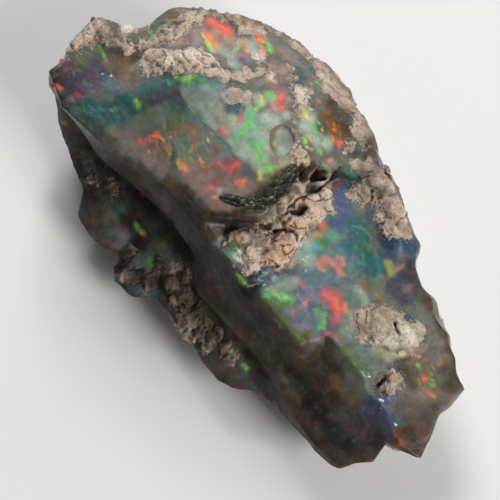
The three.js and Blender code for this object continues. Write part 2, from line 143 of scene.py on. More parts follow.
# Open crevices: points in pixels, half width in mm and depth in mm.
CREVICES = (
    (((301, 171), (306, 173), (312, 174), (317, 175)), 0.32, 0.70),
    (((314, 175), (319, 176)), 0.18, 0.45),
    (((317, 192), (324, 186), (330, 180), (340, 168)), 0.08, 0.28),
    (((274, 231), (283, 229), (290, 232), (296, 235)), 0.08, 0.20),
    (((296, 236), (297, 242)), 0.05, 0.14), (((292, 212), (298, 213), (304, 208)), 0.17, 0.34),
    (((262, 226), (269, 227)), 0.16, 0.26), (((262, 268), (270, 267), (277, 267)), 0.07, 0.20),
    (((395, 323), (396, 329), (399, 335)), 0.06, 0.30),
    (((378, 386), (381, 383), (384, 380)), 0.10, 0.24), (((182, 51), (184, 59), (190, 65)), 0.05, 0.16),
    (((196, 60), (200, 64), (206, 66)), 0.05, 0.14),
)

# Fine cracks, drawn on the crust: points in pixels.
FINE_CRACKS = (
    ((268, 236), (272, 241), (277, 244)), ((277, 235), (279, 238), (276, 239)),
    ((279, 247), (283, 248), (281, 251), (283, 255)), ((283, 255), (287, 255), (293, 249)),
    ((293, 221), (295, 226), (297, 230)), ((297, 230), (304, 229)), ((297, 230), (289, 225)),
    ((266, 259), (272, 262), (278, 267)), ((286, 247), (289, 247)), ((367, 311), (366, 324)),
    ((357, 314), (357, 322)), ((305, 199), (314, 203), (322, 201)), ((292, 71), (294, 82), (293, 92)),
    ((163, 52), (168, 58), (166, 66)), ((196, 50), (203, 57), (209, 60)),
    ((304, 232), (306, 236), (312, 238)), ((296, 192), (300, 196), (305, 197)),
    ((322, 208), (325, 212), (331, 212)),
)

# Flat-topped plates of the crust: x, y, half length and half width in pixels, heading in degrees
# and height in mm.
PLATES = (
    (297, 224, 15, 9, 35, 0.26), (284, 243, 12, 11, 10, 0.30), (276, 259, 14, 7, 18, 0.18),
    (316, 207, 14, 11, -20, 0.20), (326, 195, 8, 6, -25, 0.26), (319, 184, 10, 5, -22, 0.26),
    (237, 235, 9, 5, -18, 0.26), (246, 237, 4, 5, 10, 0.18), (251, 253, 6, 5, 20, 0.18),
    (253, 267, 6, 4, 0, 0.22), (266, 232, 6, 3, 10, 0.24), (265, 219, 6, 3, -20, 0.22),
    (277, 219, 7, 7, 0, 0.14), (280, 208, 4, 5, 0, 0.22), (378, 182, 10, 8, 30, 0.18),
    (394, 208, 12, 9, 60, 0.20), (160, 58, 12, 9, 20, 0.12), (188, 57, 16, 9, 20, 0.20),
    (206, 62, 8, 7, 40, 0.12), (194, 17, 10, 6, -20, 0.10), (82, 42, 10, 6, -30, 0.14),
    (124, 29, 7, 4, 0, 0.12), (300, 50, 14, 8, 40, 0.12), (320, 70, 10, 9, 50, 0.12),
)

# Where the crust is more broken, or less: x, y and radius in pixels, and how much.
RUGGED = (
    (385, 190, 20, 0.5), (396, 222, 14, 0.4), (110, 38, 16, 1.0), (172, 60, 30, -0.45),
    (244, 74, 24, -0.45), (200, 320, 40, 0.8), (296, 190, 8, 1.2), (300, 158, 10, 0.8),
    (306, 56, 34, -0.4), (394, 328, 26, -0.45),
)

# ---------- opal ----------
# Where its colour breaks into fine flakes: x, y and radius in pixels, and how much.
FIRE = (
    (188, 140, 24, 1.0), (158, 142, 12, 0.8), (212, 158, 12, 0.9), (110, 106, 20, 0.7),
    (84, 110, 12, 0.5), (314, 134, 14, 0.8), (318, 90, 10, 0.7), (262, 150, 14, 0.4),
    (276, 297, 16, 0.8), (300, 296, 14, 0.6), (360, 242, 24, 0.4), (424, 372, 14, 0.8),
    (240, 258, 12, 0.9), (186, 82, 20, 0.6), (246, 128, 12, 0.5), (330, 128, 12, 0.7),
)

# Where its flashes are broad and soft: x, y and radius in pixels, and how much.
GLOWS = (
    (326, 266, 18, 0.9), (334, 304, 18, 0.9), (322, 318, 12, 0.8), (362, 240, 30, 0.9),
    (424, 376, 30, 0.8), (280, 298, 14, 0.9), (302, 296, 14, 0.6), (224, 27, 20, 0.6),
    (266, 44, 14, 0.5), (226, 174, 22, 0.6), (150, 140, 16, 0.4), (256, 140, 24, 0.4),
    (330, 244, 16, 0.8), (72, 96, 30, 0.6), (388, 268, 14, 0.8),
)

# The flakes lie along one direction, which is fixed in the stone. Each axis is as long as there are
# flakes in a millimetre along it.
FLAKE_HEADING = math.radians(62)
FLAKE_RUN = ACROSS * math.cos(FLAKE_HEADING) - UPWARD * math.sin(FLAKE_HEADING)
FLAKE_AXES = {"X": FLAKE_RUN * 1.5, "Y": np.cross(FLAKE_RUN, AHEAD) * 4.6, "Z": AHEAD * 4.6}

# Broad corrections of the outline: x, y in pixels, radius and height in mm.
NUDGES = (
    (386, 150, 1.8, -0.40), (394, 168, 1.6, -0.50), (448, 312, 1.8, -0.60), (458, 340, 1.8, -0.60),
    (462, 372, 1.4, -0.25), (428, 262, 1.2, -0.25),
)

# The round pit: centre and half sizes in pixels, and depth in mm. The middle and size of its pale
# floor, which is partly painted light, and how ragged its lip is, are shares of the half sizes.
PIT = {
    "at": (281, 140), "half": (12.2, 15.8), "depth": 0.30, "floor": (0.45, 0.12), "floor_size": 0.92,
    "ragged": 0.06,
}

# The thin milky sheet on the head: its crisp edge, and the spots that it fills, all in pixels.
SHEET_EDGE = (
    (176, 88), (182, 97), (189, 107), (197, 115), (205, 123), (214, 131), (221, 138), (229, 145),
    (237, 158),
)
SHEET_AREA = (
    (190, 95, 12), (200, 98, 15), (211, 106, 14), (214, 120, 14), (230, 128, 14), (240, 144, 16),
    (252, 126, 14), (256, 142, 18), (262, 160, 14), (272, 120, 12),
)

# The dark root: x, y and radius in pixels.
ROOT_LINE = (
    (219, 197, 3.6), (225, 198, 4.8), (232, 200, 5.6), (240, 203, 6.2), (249, 206, 7.0),
    (258, 206, 8.0), (266, 201, 8.8), (274, 194, 9.2), (282, 186, 9.0), (289, 178, 8.2),
    (294, 171, 6.6), (296, 165, 4.4),
)

# ---------- colours, in sRGB 0 to 255 ----------
COLOURS = {
    "red": (238, 108, 92), "rose": (200, 104, 110), "crimson": (150, 66, 74), "orange": (232, 138, 84),
    "amber": (184, 128, 72), "gold": (228, 202, 96), "yellow": (222, 216, 108), "lime": (138, 222, 88),
    "green": (104, 200, 100), "emerald": (46, 124, 82), "jade": (98, 164, 122), "teal": (44, 92, 94),
    "cyan": (108, 164, 166), "blue": (78, 90, 128), "violet": (148, 144, 160), "purple": (92, 78, 112),
    "salmon": (220, 146, 124), "peach": (210, 166, 134), "white": (228, 230, 220),
    "copper": (132, 86, 56), "moss": (96, 114, 62), "milk": (166, 176, 162), "mist": (106, 120, 116),
    "mauve": (124, 108, 104), "plum": (52, 44, 50), "slate": (72, 86, 98), "deep_blue": (34, 62, 82),
    "deep_teal": (38, 70, 72), "olive": (72, 78, 56), "grey": (104, 104, 94), "smoke": (62, 53, 46),
    "umber": (50, 37, 27), "bark": (34, 25, 18), "black_brown": (24, 19, 15), "rust": (60, 28, 12),
    "tan": (178, 156, 136), "blush": (146, 124, 116), "cream": (228, 216, 198),
    "beige": (208, 186, 166), "sand": (196, 172, 152), "pink_beige": (224, 198, 178),
    "taupe": (110, 92, 78), "indigo": (54, 62, 96), "dusk": (68, 62, 74), "drab": (104, 90, 74),
    "straw": (204, 190, 150), "fawn": (146, 126, 108), "chestnut": (84, 54, 36), "fern": (96, 108, 82),
    "ochre": (158, 116, 76), "mustard": (164, 160, 78), "lichen": (166, 164, 138), "pitch": (15, 14, 9),
    "shade_brown": (26, 15, 9), "brass": (120, 108, 74), "wine": (36, 20, 24), "night": (28, 28, 36),
    "ember": (28, 12, 6), "pine": (38, 48, 42), "heather": (86, 90, 114), "haze": (98, 118, 132),
}

# Soft fields of body colour: colour and weight, then x, y and radius in pixels. Some rows are painted
# shade, as the comments say where they stand.
WASHES = (
    # The plum, wine and pine rows darken the head's left edge: partly its own purple and dark green,
    # partly painted shade.
    ("plum", 3.0, (66, 66, 8), (68, 78, 8), (72, 90, 7), (62, 92, 6), (78, 92, 6)),
    ("wine", 4.0, (56, 72, 5), (58, 84, 5), (62, 96, 5), (66, 106, 5)),
    ("crimson", 0.4, (68, 66, 7), (77, 94, 5)),
    ("pine", 2.0, (80, 102, 7), (82, 112, 7), (90, 121, 7), (100, 131, 7), (112, 140, 6)),
    ("olive", 0.5, (76, 60, 8), (84, 66, 6)),
    ("dusk", 2.2, (90, 92, 8), (92, 80, 9), (98, 70, 7), (84, 76, 8), (80, 88, 7)),
    ("taupe", 1.2, (122, 66, 8), (130, 74, 9), (128, 84, 7), (136, 66, 7)),
    ("slate", 1.0, (102, 74, 7), (110, 82, 7), (118, 90, 6)),
    ("mauve", 0.7, (108, 62, 7), (140, 82, 5)),
    ("smoke", 1.1, (132, 50, 8), (142, 58, 7), (118, 54, 6)),
    ("deep_teal", 1.3, (92, 106, 9), (108, 102, 9), (122, 102, 9), (134, 108, 8), (108, 118, 9),
        (122, 124, 8)),
    ("teal", 1.0, (96, 112, 8), (118, 112, 9), (150, 84, 9), (164, 80, 8), (204, 82, 8), (214, 86, 6)),
    ("olive", 0.9, (144, 100, 7), (100, 96, 6)),
    ("dusk", 1.4, (150, 101, 5), (160, 97, 5), (170, 94, 5), (178, 92, 4)),
    ("deep_teal", 1.0, (150, 92, 7), (164, 88, 6), (176, 84, 5)),
    ("deep_teal", 0.8, (172, 104, 8), (184, 112, 8)), ("mist", 1.0, (164, 110, 7), (162, 118, 6)),
    ("fern", 1.0, (172, 122, 9), (180, 128, 9), (166, 132, 8)),
    ("ochre", 1.2, (184, 128, 7), (192, 134, 7), (178, 130, 5), (186, 166, 5)),
    ("grey", 0.8, (176, 122, 9), (186, 130, 9)),
    ("mist", 2.4, (188, 142, 9), (198, 150, 8), (206, 152, 7), (178, 136, 7), (190, 156, 8),
        (202, 140, 7)),
    ("mauve", 1.0, (124, 134, 9), (138, 146, 9), (152, 158, 8), (164, 166, 7)),
    ("grey", 0.9, (136, 124, 9), (150, 118, 8), (112, 130, 7)),
    ("blush", 1.2, (196, 180, 7), (206, 192, 7), (214, 202, 7), (226, 206, 6), (242, 200, 7)),
    # Painted shade under the head's edge and under its tip, over the wall's own dark brown.
    ("umber", 5.0, (168, 180, 4), (176, 185, 4), (184, 190, 4), (192, 197, 4), (199, 205, 4),
        (206, 213, 4)),
    ("shade_brown", 5.0, (214, 216, 3.5), (224, 216, 3.5), (234, 216, 3.5), (244, 215, 3.5)),
    ("mauve", 1.2, (222, 160, 9), (208, 174, 9), (232, 176, 7)),
    ("crimson", 0.5, (230, 168, 8), (214, 184, 7)),
    ("mauve", 0.9, (200, 168, 9), (190, 176, 8), (224, 182, 9)),
    ("mist", 3.0, (190, 114, 6), (200, 124, 6), (209, 135, 6), (218, 142, 6), (226, 150, 6),
        (212, 142, 6)),
    ("mist", 1.2, (206, 90, 6), (218, 90, 6)),
    ("milk", 0.9, (252, 128, 10), (258, 144, 8), (246, 112, 7), (248, 152, 8), (266, 120, 7)),
    ("jade", 0.9, (250, 124, 9), (256, 140, 8), (240, 142, 8), (232, 124, 7)),
    ("slate", 6.0, (234, 102, 4), (240, 105, 4.5), (240, 112, 3.5)),
    ("teal", 7.0, (236, 103, 4), (241, 108, 4)), ("mauve", 1.0, (272, 154, 6), (274, 162, 5)),
    ("taupe", 1.2, (262, 184, 8), (252, 192, 7), (274, 176, 6)),
    ("milk", 0.9, (214, 46, 8), (226, 52, 8), (232, 62, 7), (252, 46, 7)),
    ("tan", 1.4, (228, 40, 7), (240, 45, 7), (216, 34, 6), (182, 40, 5)), ("rose", 0.5, (221, 34, 8)),
    ("mauve", 1.0, (204, 28, 8), (218, 38, 7), (228, 44, 8), (240, 52, 7), (190, 36, 7), (222, 60, 7)),
    ("violet", 0.8, (243, 62, 5), (236, 56, 5)), ("blush", 0.8, (240, 58, 5)),
    ("mauve", 1.2, (186, 40, 8), (176, 44, 7), (196, 36, 7), (202, 46, 7)),
    ("grey", 1.0, (142, 30, 7), (152, 30, 6), (144, 38, 5)),
    ("deep_teal", 0.9, (164, 26, 6), (158, 34, 5), (176, 20, 5)),
    ("taupe", 2.0, (176, 12, 7), (186, 9, 6), (168, 14, 6), (182, 16, 6)),
    ("mauve", 1.6, (281, 54, 6), (282, 66, 6), (282, 78, 6), (276, 88, 5), (272, 50, 6),
        (290, 52, 6), (296, 62, 6)),
    ("blush", 0.9, (276, 66, 6), (286, 58, 5), (280, 92, 6), (288, 102, 5), (274, 112, 6)),
    ("milk", 1.2, (286, 116, 5), (270, 98, 6), (260, 100, 6)),
    ("lichen", 2.4, (276, 171, 5), (268, 180, 5), (284, 164, 5), (316, 237, 5)),
    ("slate", 1.2, (300, 71, 4), (303, 77, 4)), ("tan", 1.0, (271, 80, 5), (284, 70, 5)),
    ("smoke", 4.0, (342, 112, 9), (336, 104, 7), (346, 124, 7), (334, 120, 7)),
    ("chestnut", 3.0, (332, 108, 5), (340, 118, 5), (344, 128, 5)),
    ("copper", 0.9, (327, 116, 5), (336, 130, 6), (332, 122, 5)),
    ("lichen", 1.6, (333, 86, 5), (336, 92, 5)),
    ("grey", 1.0, (312, 82, 7), (318, 92, 8), (322, 104, 7)),
    ("milk", 0.9, (308, 118, 7), (316, 142, 8), (306, 128, 6), (326, 144, 6)),
    ("smoke", 1.0, (312, 148, 6), (306, 154, 5)),
    ("grey", 1.2, (320, 162, 7), (332, 160, 6), (342, 154, 6), (350, 162, 5)),
    ("deep_teal", 1.2, (354, 174, 5), (352, 182, 5), (376, 192, 4)),
    ("blue", 1.4, (341, 188, 5), (341, 196, 6), (342, 206, 7), (344, 214, 7), (338, 222, 7)),
    ("slate", 1.2, (346, 196, 5), (342, 212, 6), (338, 220, 6)),
    ("mist", 1.0, (332, 214, 6), (326, 234, 8), (334, 238, 8)),
    ("teal", 1.3, (356, 232, 9), (362, 246, 9), (368, 258, 9), (352, 222, 7), (350, 246, 8),
        (360, 264, 7)),
    ("haze", 0.8, (346, 226, 6), (344, 238, 7), (342, 250, 7), (352, 262, 6)),
    ("deep_blue", 1.5, (386, 242, 9), (394, 248, 8), (380, 250, 6), (402, 246, 7)),
    ("slate", 0.8, (410, 244, 6), (414, 250, 5), (398, 258, 7)),
    ("deep_blue", 1.4, (412, 246, 7), (416, 252, 5)), ("smoke", 0.7, (372, 238, 4), (378, 248, 4)),
    ("grey", 1.6, (380, 284, 6), (376, 292, 6)),
    ("dusk", 3.0, (396, 290, 6), (404, 300, 6), (391, 282, 4)), ("mauve", 0.5, (404, 288, 5)),
    ("plum", 1.6, (406, 276, 6), (412, 268, 6), (416, 278, 5)),
    ("smoke", 4.0, (420, 290, 6), (430, 301, 6), (438, 312, 6), (446, 330, 6), (452, 346, 6),
        (457, 362, 6), (458, 376, 6)),
    ("deep_blue", 1.0, (396, 282, 7), (390, 274, 5)), ("grey", 2.0, (413, 309, 6), (420, 320, 6)),
    ("mist", 1.0, (322, 254, 8), (334, 256, 8), (310, 266, 7), (318, 280, 8)),
    ("cyan", 0.7, (310, 250, 6), (304, 244, 6), (316, 246, 6)),
    ("milk", 1.6, (300, 258, 7), (308, 261, 6), (306, 244, 6), (292, 262, 5)),
    ("violet", 0.8, (276, 272, 6), (308, 292, 7), (304, 302, 7), (314, 300, 6)),
    ("heather", 2.0, (276, 276, 5), (302, 294, 7), (308, 304, 6)),
    ("lichen", 1.6, (272, 290, 5), (280, 296, 5)), ("milk", 0.7, (284, 283, 6), (293, 283, 6)),
    ("mist", 0.8, (288, 286, 7)),
    ("haze", 2.0, (324, 276, 6), (316, 284, 6), (331, 277, 5), (300, 308, 6), (322, 286, 5),
        (308, 276, 6)),
    ("indigo", 2.0, (262, 273, 5), (268, 279, 5), (276, 275, 5), (262, 281, 4)),
    ("jade", 1.0, (268, 293, 6), (278, 296, 7), (288, 297, 6)),
    ("moss", 1.2, (268, 301, 6), (278, 305, 6), (290, 303, 5)),
    ("slate", 1.1, (292, 308, 8), (300, 318, 7), (312, 306, 7), (298, 304, 6)),
    ("olive", 1.4, (276, 312, 7), (284, 320, 7), (292, 330, 7), (302, 338, 6), (270, 304, 6)),
    ("fern", 1.4, (284, 324, 6), (300, 340, 5), (292, 332, 5)),
    ("violet", 0.8, (288, 312, 6), (300, 326, 6)),
    ("mauve", 1.0, (310, 322, 7), (318, 312, 7), (314, 334, 6), (322, 300, 6)),
    ("mist", 1.1, (352, 274, 9), (350, 290, 9), (356, 302, 8), (346, 320, 8), (352, 334, 7)),
    ("milk", 0.8, (360, 290, 7), (364, 300, 6), (354, 316, 6)),
    ("teal", 1.6, (376, 262, 7), (380, 268, 6), (372, 270, 6), (372, 244, 5), (374, 276, 5)),
    ("olive", 0.6, (368, 286, 5)),
    ("umber", 1.6, (330, 344, 5), (340, 350, 7), (330, 352, 7), (344, 362, 7), (336, 366, 8)),
    ("fern", 2.4, (348, 352, 6), (354, 362, 7), (360, 372, 7), (342, 346, 4), (352, 374, 6)),
    ("mist", 2.0, (347, 364, 6), (340, 356, 5)), ("lichen", 2.0, (380, 348, 6), (388, 356, 5)),
    ("straw", 3.0, (401, 350, 5)), ("lichen", 1.5, (391, 352, 5)),
    ("milk", 5.0, (228, 244, 6), (221, 243, 4)), ("jade", 2.0, (228, 252, 4)),
    ("grey", 1.2, (372, 360, 8), (374, 372, 8), (366, 382, 7)),
    ("mist", 2.2, (362, 350, 7), (370, 358, 8), (374, 368, 8), (368, 378, 8), (362, 386, 6),
        (378, 374, 6)),
    ("drab", 2.4, (338, 383, 6), (345, 391, 6), (352, 399, 5), (333, 377, 5)),
    ("smoke", 1.4, (370, 372, 8), (374, 364, 6)), ("grey", 1.6, (355, 385, 7)),
    ("haze", 2.0, (310, 320, 7), (315, 326, 6)), ("milk", 0.8, (350, 330, 7)),
    ("mist", 1.6, (356, 392, 5), (364, 396, 5), (370, 388, 6)),
    ("umber", 1.4, (320, 372, 9), (326, 388, 9), (334, 400, 8), (310, 360, 8), (300, 350, 7)),
    ("plum", 1.0, (356, 388, 7), (366, 394, 7), (374, 390, 6), (344, 404, 7)),
    ("indigo", 1.6, (374, 404, 7), (381, 412, 7), (386, 422, 6), (386, 398, 6), (368, 410, 6),
        (388, 434, 5)),
    ("plum", 1.3, (356, 418, 8), (366, 426, 8), (374, 436, 8), (362, 442, 8), (348, 430, 7),
        (376, 450, 7)),
    ("night", 3.0, (356, 420, 8), (372, 422, 7), (365, 438, 8), (347, 442, 9), (336, 446, 8),
        (340, 428, 7), (378, 440, 7)),
    ("rust", 0.8, (366, 458, 6), (358, 452, 5), (352, 444, 5)),
    ("smoke", 1.4, (404, 402, 8), (414, 406, 8), (424, 412, 8), (412, 416, 8), (424, 422, 7),
        (434, 412, 6)),
    ("mauve", 0.9, (404, 398, 8), (416, 402, 8), (412, 412, 7)),
    ("slate", 0.9, (396, 392, 5), (402, 408, 5), (398, 420, 5)),
    ("chestnut", 4.0, (398, 434, 5), (422, 431, 5), (428, 440, 5)),
    ("rust", 5.0, (408, 434, 6), (416, 442, 7), (406, 444, 6), (418, 450, 5), (402, 440, 5)),
    ("ember", 9.0, (412, 438, 5), (416, 444, 6), (408, 451, 6), (417, 452, 5)),
    # The copper spots at the amber tip's edges are painted highlight.
    ("copper", 2.0, (398, 446, 3), (430, 444, 3), (426, 452, 3)),
    ("taupe", 2.2, (424, 360, 7), (418, 352, 6), (430, 370, 7), (414, 362, 6), (424, 378, 7)),
    ("fern", 0.5, (420, 366, 6), (430, 378, 6)),
    ("smoke", 1.0, (404, 362, 6), (410, 372, 6), (402, 372, 5), (412, 384, 6)),
    ("drab", 1.2, (440, 394, 7), (436, 384, 6), (448, 360, 7)),
    ("smoke", 3.0, (445, 373, 7), (448, 384, 7)), ("fern", 1.0, (444, 378, 6)),
    ("grey", 1.0, (436, 340, 6), (444, 350, 7), (430, 328, 6), (434, 356, 6), (424, 306, 6),
        (432, 314, 6)),
    ("blush", 0.8, (438, 362, 5), (444, 344, 5), (426, 394, 5)),
    # under the head's edge: its own brown, darkened with painted shade below the edge, under the head's
    # tip, above the root and in the crevice beyond it
    ("smoke", 1.2, (104, 142, 6), (116, 152, 6), (128, 162, 6), (140, 170, 6), (152, 178, 6),
        (164, 188, 6)),
    ("bark", 2.0, (98, 150, 5), (110, 162, 5), (122, 172, 5), (134, 181, 5), (146, 192, 6),
        (158, 204, 6)),
    ("chestnut", 0.9, (176, 190, 5), (166, 182, 5), (184, 200, 5)),
    ("bark", 1.6, (190, 206, 6), (200, 216, 6), (186, 214, 7), (176, 208, 6), (196, 226, 6)),
    ("shade_brown", 7.0, (212, 219, 5), (222, 221, 5), (232, 222, 5), (242, 221, 5), (252, 219, 4),
        (216, 228, 6), (228, 229, 5)),
    ("umber", 1.0, (264, 191, 2), (270, 185, 2), (277, 177, 2), (284, 170, 2), (290, 163, 2),
        (252, 198, 2)),
    ("blush", 1.2, (254, 188, 6), (262, 182, 6), (246, 192, 6)),
    ("shade_brown", 4.0, (312, 165, 3), (316, 168, 2.5)), ("taupe", 4.0, (324, 171, 4), (332, 170, 4)),
    # front wall of the tail: its own dark brown, darkened further with painted shade
    ("bark", 1.8, (226, 264, 8), (237, 280, 8), (247, 297, 9), (257, 314, 8), (270, 331, 8),
        (285, 346, 8)),
    ("bark", 1.4, (206, 250, 8), (222, 274, 8), (236, 290, 8), (250, 308, 8), (264, 324, 9),
        (280, 342, 9)),
    ("chestnut", 0.9, (272, 330, 8), (286, 350, 9), (298, 366, 9), (276, 344, 8), (306, 346, 7)),
    ("smoke", 1.3, (200, 290, 6), (212, 300, 6), (226, 310, 6), (240, 324, 6), (256, 342, 6),
        (272, 364, 6)),
    ("smoke", 1.3, (284, 384, 6), (294, 404, 6), (304, 420, 6), (316, 436, 6)),
    ("black_brown", 1.8, (222, 322, 5), (236, 338, 5), (248, 352, 5), (262, 372, 5), (276, 392, 5)),
    ("black_brown", 1.6, (136, 200, 7), (150, 216, 7), (164, 230, 7), (178, 244, 7), (190, 258, 7),
        (202, 272, 7)),
    ("black_brown", 4.0, (300, 380, 9), (310, 400, 9), (330, 430, 9), (345, 447, 7), (290, 366, 8),
        (320, 416, 9)),
    ("black_brown", 4.0, (206, 270, 8), (214, 282, 7), (170, 220, 8), (150, 202, 7), (138, 190, 6),
        (186, 246, 8)),
    ("black_brown", 4.0, (92, 148, 6), (100, 160, 7), (112, 174, 7), (124, 184, 7), (140, 240, 8),
        (134, 226, 7)),
    ("black_brown", 1.6, (240, 292, 8), (262, 320, 8), (280, 348, 8), (224, 274, 7), (272, 334, 7)),
    # the shelf: its own dark colours, partly darkened with painted shade
    ("smoke", 1.6, (94, 202, 8), (98, 214, 8), (104, 228, 8), (108, 240, 7), (88, 192, 7)),
    ("olive", 0.8, (96, 208, 7), (104, 222, 7)),
    ("cyan", 0.25, (110, 236, 6), (104, 222, 5), (122, 210, 5)),
    ("rust", 0.8, (94, 203, 4), (112, 180, 3)),
    ("umber", 1.0, (120, 196, 7), (132, 210, 7), (146, 232, 6), (124, 222, 6)),
    ("mauve", 0.4, (112, 216, 6), (124, 232, 6)),
    ("smoke", 1.2, (232, 372, 8), (240, 384, 8), (248, 392, 8), (226, 364, 7)),
    ("slate", 0.4, (240, 378, 6), (250, 388, 6)),
    ("umber", 1.2, (300, 420, 8), (316, 440, 8), (332, 456, 8), (344, 464, 7)),
)

# Flashes of each colour: half width in pixels, then the points of the stroke.
FLASHES = {
    "red": (
        (5.0, (212, 21), (220, 25), (229, 31)), (3.4, (252, 31), (257, 34)),
        (3.4, (280, 96), (282, 99)), (2.8, (281, 106), (282, 107)), (2.2, (342, 85), (343, 94)),
        (2.6, (338, 144), (341, 143)), (1.6, (329, 160), (332, 160)), (2.0, (57, 86), (60, 88)),
        (3.0, (157, 134), (159, 138)), (2.4, (152, 141), (155, 143)),
        (1.8, (230, 171), (234, 166), (239, 164)), (1.8, (240, 184), (243, 184)),
        (1.8, (323, 224), (325, 221)), (6, (334, 300), (338, 308)), (2.6, (423, 379), (427, 379)),
    ),
    "rose": (
        (2.4, (203, 29), (206, 33)), (3.2, (241, 119), (240, 122)), (1.2, (241, 111), (241, 119)),
        (1.6, (219, 131), (226, 136)), (1.8, (158, 146), (160, 150)), (2.6, (140, 140), (144, 144)),
        (2.2, (149, 138), (151, 142)), (1.8, (222, 170), (230, 168)), (1.4, (218, 162), (221, 165)),
        (2.2, (206, 190), (212, 187)), (7.2, (328, 294), (336, 300)), (5, (338, 312), (337, 318)),
        (1.4, (324, 335), (331, 333)), (1.4, (334, 334), (337, 340)),
    ),
    "orange": (
        (3.6, (207, 34), (211, 40), (216, 46)), (3.2, (258, 40), (265, 39)),
        (1.6, (334, 125), (334, 130)), (2.6, (332, 137), (333, 140)),
        (1.3, (166, 20), (172, 20), (180, 19)), (2.2, (237, 182), (244, 181)),
        (1.8, (178, 160), (182, 165), (186, 171)), (1.8, (199, 160), (203, 166)),
        (3, (320, 222), (323, 226)), (2.2, (318, 233), (320, 236)), (2.6, (344, 304), (346, 310)),
        (1.4, (331, 296), (332, 300)), (1.3, (428, 392), (435, 397)), (2.4, (157, 267), (162, 270)),
    ),
    "yellow": (
        (1.6, (203, 34), (208, 42), (213, 51)), (2.2, (264, 42), (268, 44)), (2, (262, 97), (262, 103)),
        (2, (260, 172), (260, 178)), (3.0, (303, 108), (305, 112)), (1.4, (308, 147), (312, 150)),
        (1.6, (286, 297)), (0.7, (331, 299)), (2.0, (303, 161), (305, 164)),
        (1.2, (242, 256), (243, 258)),
    ),
    "lime": (
        (1.4, (206, 42), (211, 50)), (1.5, (262, 104), (257, 108), (251, 113)),
        (1.2, (254, 112), (251, 118), (250, 124)), (1.6, (257, 146), (260, 156)),
        (2.0, (266, 168), (271, 170)), (1.8, (305, 135), (305, 142)),
        (1.0, (100, 46), (103, 53), (106, 60)), (2.4, (136, 102), (138, 106)),
        (4.6, (186, 79), (190, 79)), (1.2, (180, 144), (184, 150), (187, 158)),
        (2.6, (284, 297), (289, 298)), (2.4, (238, 275), (244, 282)), (1.4, (324, 321), (324, 328)),
        (1.8, (243, 365), (247, 368)), (1.2, (264, 273), (267, 273)),
    ),
    "green": (
        (3.2, (267, 43), (270, 50)), (3.8, (270, 94), (273, 96)),
        (2.4, (250, 124), (246, 131), (242, 134)), (3.2, (257, 145), (260, 152), (261, 160)),
        (1.8, (270, 167), (265, 171)), (2.6, (312, 126), (316, 132)), (1.6, (319, 150), (321, 154)),
        (2, (176, 79), (182, 80)), (1.6, (150, 31), (153, 34)), (2.6, (270, 293), (278, 296)),
        (1.6, (323, 316), (324, 324)), (1.4, (429, 383), (432, 386)), (1.6, (418, 365), (421, 368)),
        (2.4, (136, 225), (138, 228)), (2.6, (150, 261), (155, 264)), (2.4, (234, 245), (237, 247)),
        (1.4, (228, 254), (230, 257)),
    ),
    "peach": ((3, (246, 41)), (3.4, (248, 51)), (3, (111, 182), (115, 186))),
    "purple": ((3.4, (242, 60), (245, 63)),),
    "salmon": (
        (2.4, (262, 46), (264, 54)), (1.6, (272, 102), (274, 109)), (1.2, (276, 103), (277, 110)),
        (2.8, (223, 127), (226, 133)), (2.6, (309, 137), (311, 139)), (1.2, (171, 133), (174, 138)),
        (1.8, (213, 197), (217, 196)), (2.6, (319, 264), (329, 261), (335, 265)),
        (2.6, (338, 268), (341, 274)),
    ),
    "gold": (
        (1.8, (243, 104), (247, 102)), (1.8, (306, 114), (307, 118)), (2.6, (302, 159), (305, 163)),
        (1.2, (114, 110)), (2, (141, 232), (144, 234)), (2.4, (302, 156), (304, 164)),
    ),
    "jade": (
        (4, (248, 118), (252, 112)), (2, (250, 140), (254, 148)), (2.6, (326, 168), (328, 170)),
        (3, (196, 77), (204, 81)), (2, (184, 86), (192, 88)), (2.6, (156, 31), (162, 27), (170, 23)),
        (4, (330, 237), (335, 236)), (2.0, (320, 313), (322, 318)),
    ),
    "mauve": ((3, (270, 155), (272, 160)),),
    "moss": (
        (1.4, (318, 134), (322, 140)), (1.6, (99, 45), (102, 51)),
        (2, (266, 300), (276, 305), (288, 303)), (1.2, (304, 328), (309, 335)),
        (2.4, (292, 335), (300, 338)), (3, (364, 243), (368, 248)), (3, (338, 349), (343, 351)),
        (2, (283, 379), (286, 382)),
    ),
    "white": (
        (1.0, (306, 147), (307, 148)), (3.4, (235, 254), (240, 251)), (3.4, (236, 258), (243, 260)),
        (1.4, (246, 262), (250, 266)),
    ),
    "crimson": ((1.6, (344, 92), (345, 97)), (2.2, (77, 94), (79, 96)), (2.6, (336, 184), (338, 187))),
    "emerald": (
        (3.2, (351, 171), (354, 176)), (1.6, (81, 109), (83, 111)), (3, (158, 36), (166, 30)),
        (4.4, (320, 240), (326, 241)), (1.6, (260, 282), (266, 284)), (2.6, (228, 254), (231, 256)),
        (2.2, (247, 261), (253, 261)),
    ),
    "amber": ((2.4, (62, 122), (65, 124)), (1.2, (403, 265), (398, 269), (396, 271))),
    "ochre": (
        (1.4, (214, 156), (222, 157)), (1.6, (186, 128), (192, 125), (198, 129)),
        (1.6, (376, 295), (380, 297)),
    ),
    "blue": ((3.0, (340, 193), (343, 199)), (2.4, (341, 212), (343, 216))),
    "black_brown": ((1.0, (329, 300)),),
    "teal": ((4, (368, 258), (372, 264)),),
    "copper": (
        (2, (370, 231), (376, 242)), (1.8, (376, 244), (375, 252)), (3.0, (362, 284), (366, 288)),
        (2.4, (289, 265), (298, 264)),
    ),
    "mustard": ((2.6, (387, 263), (390, 269), (391, 274)), (1.4, (391, 263), (393, 268))),
    "fern": ((2.4, (382, 281), (386, 280)),),
    "dusk": ((2.4, (152, 105), (160, 100), (170, 96), (178, 93)),),
}
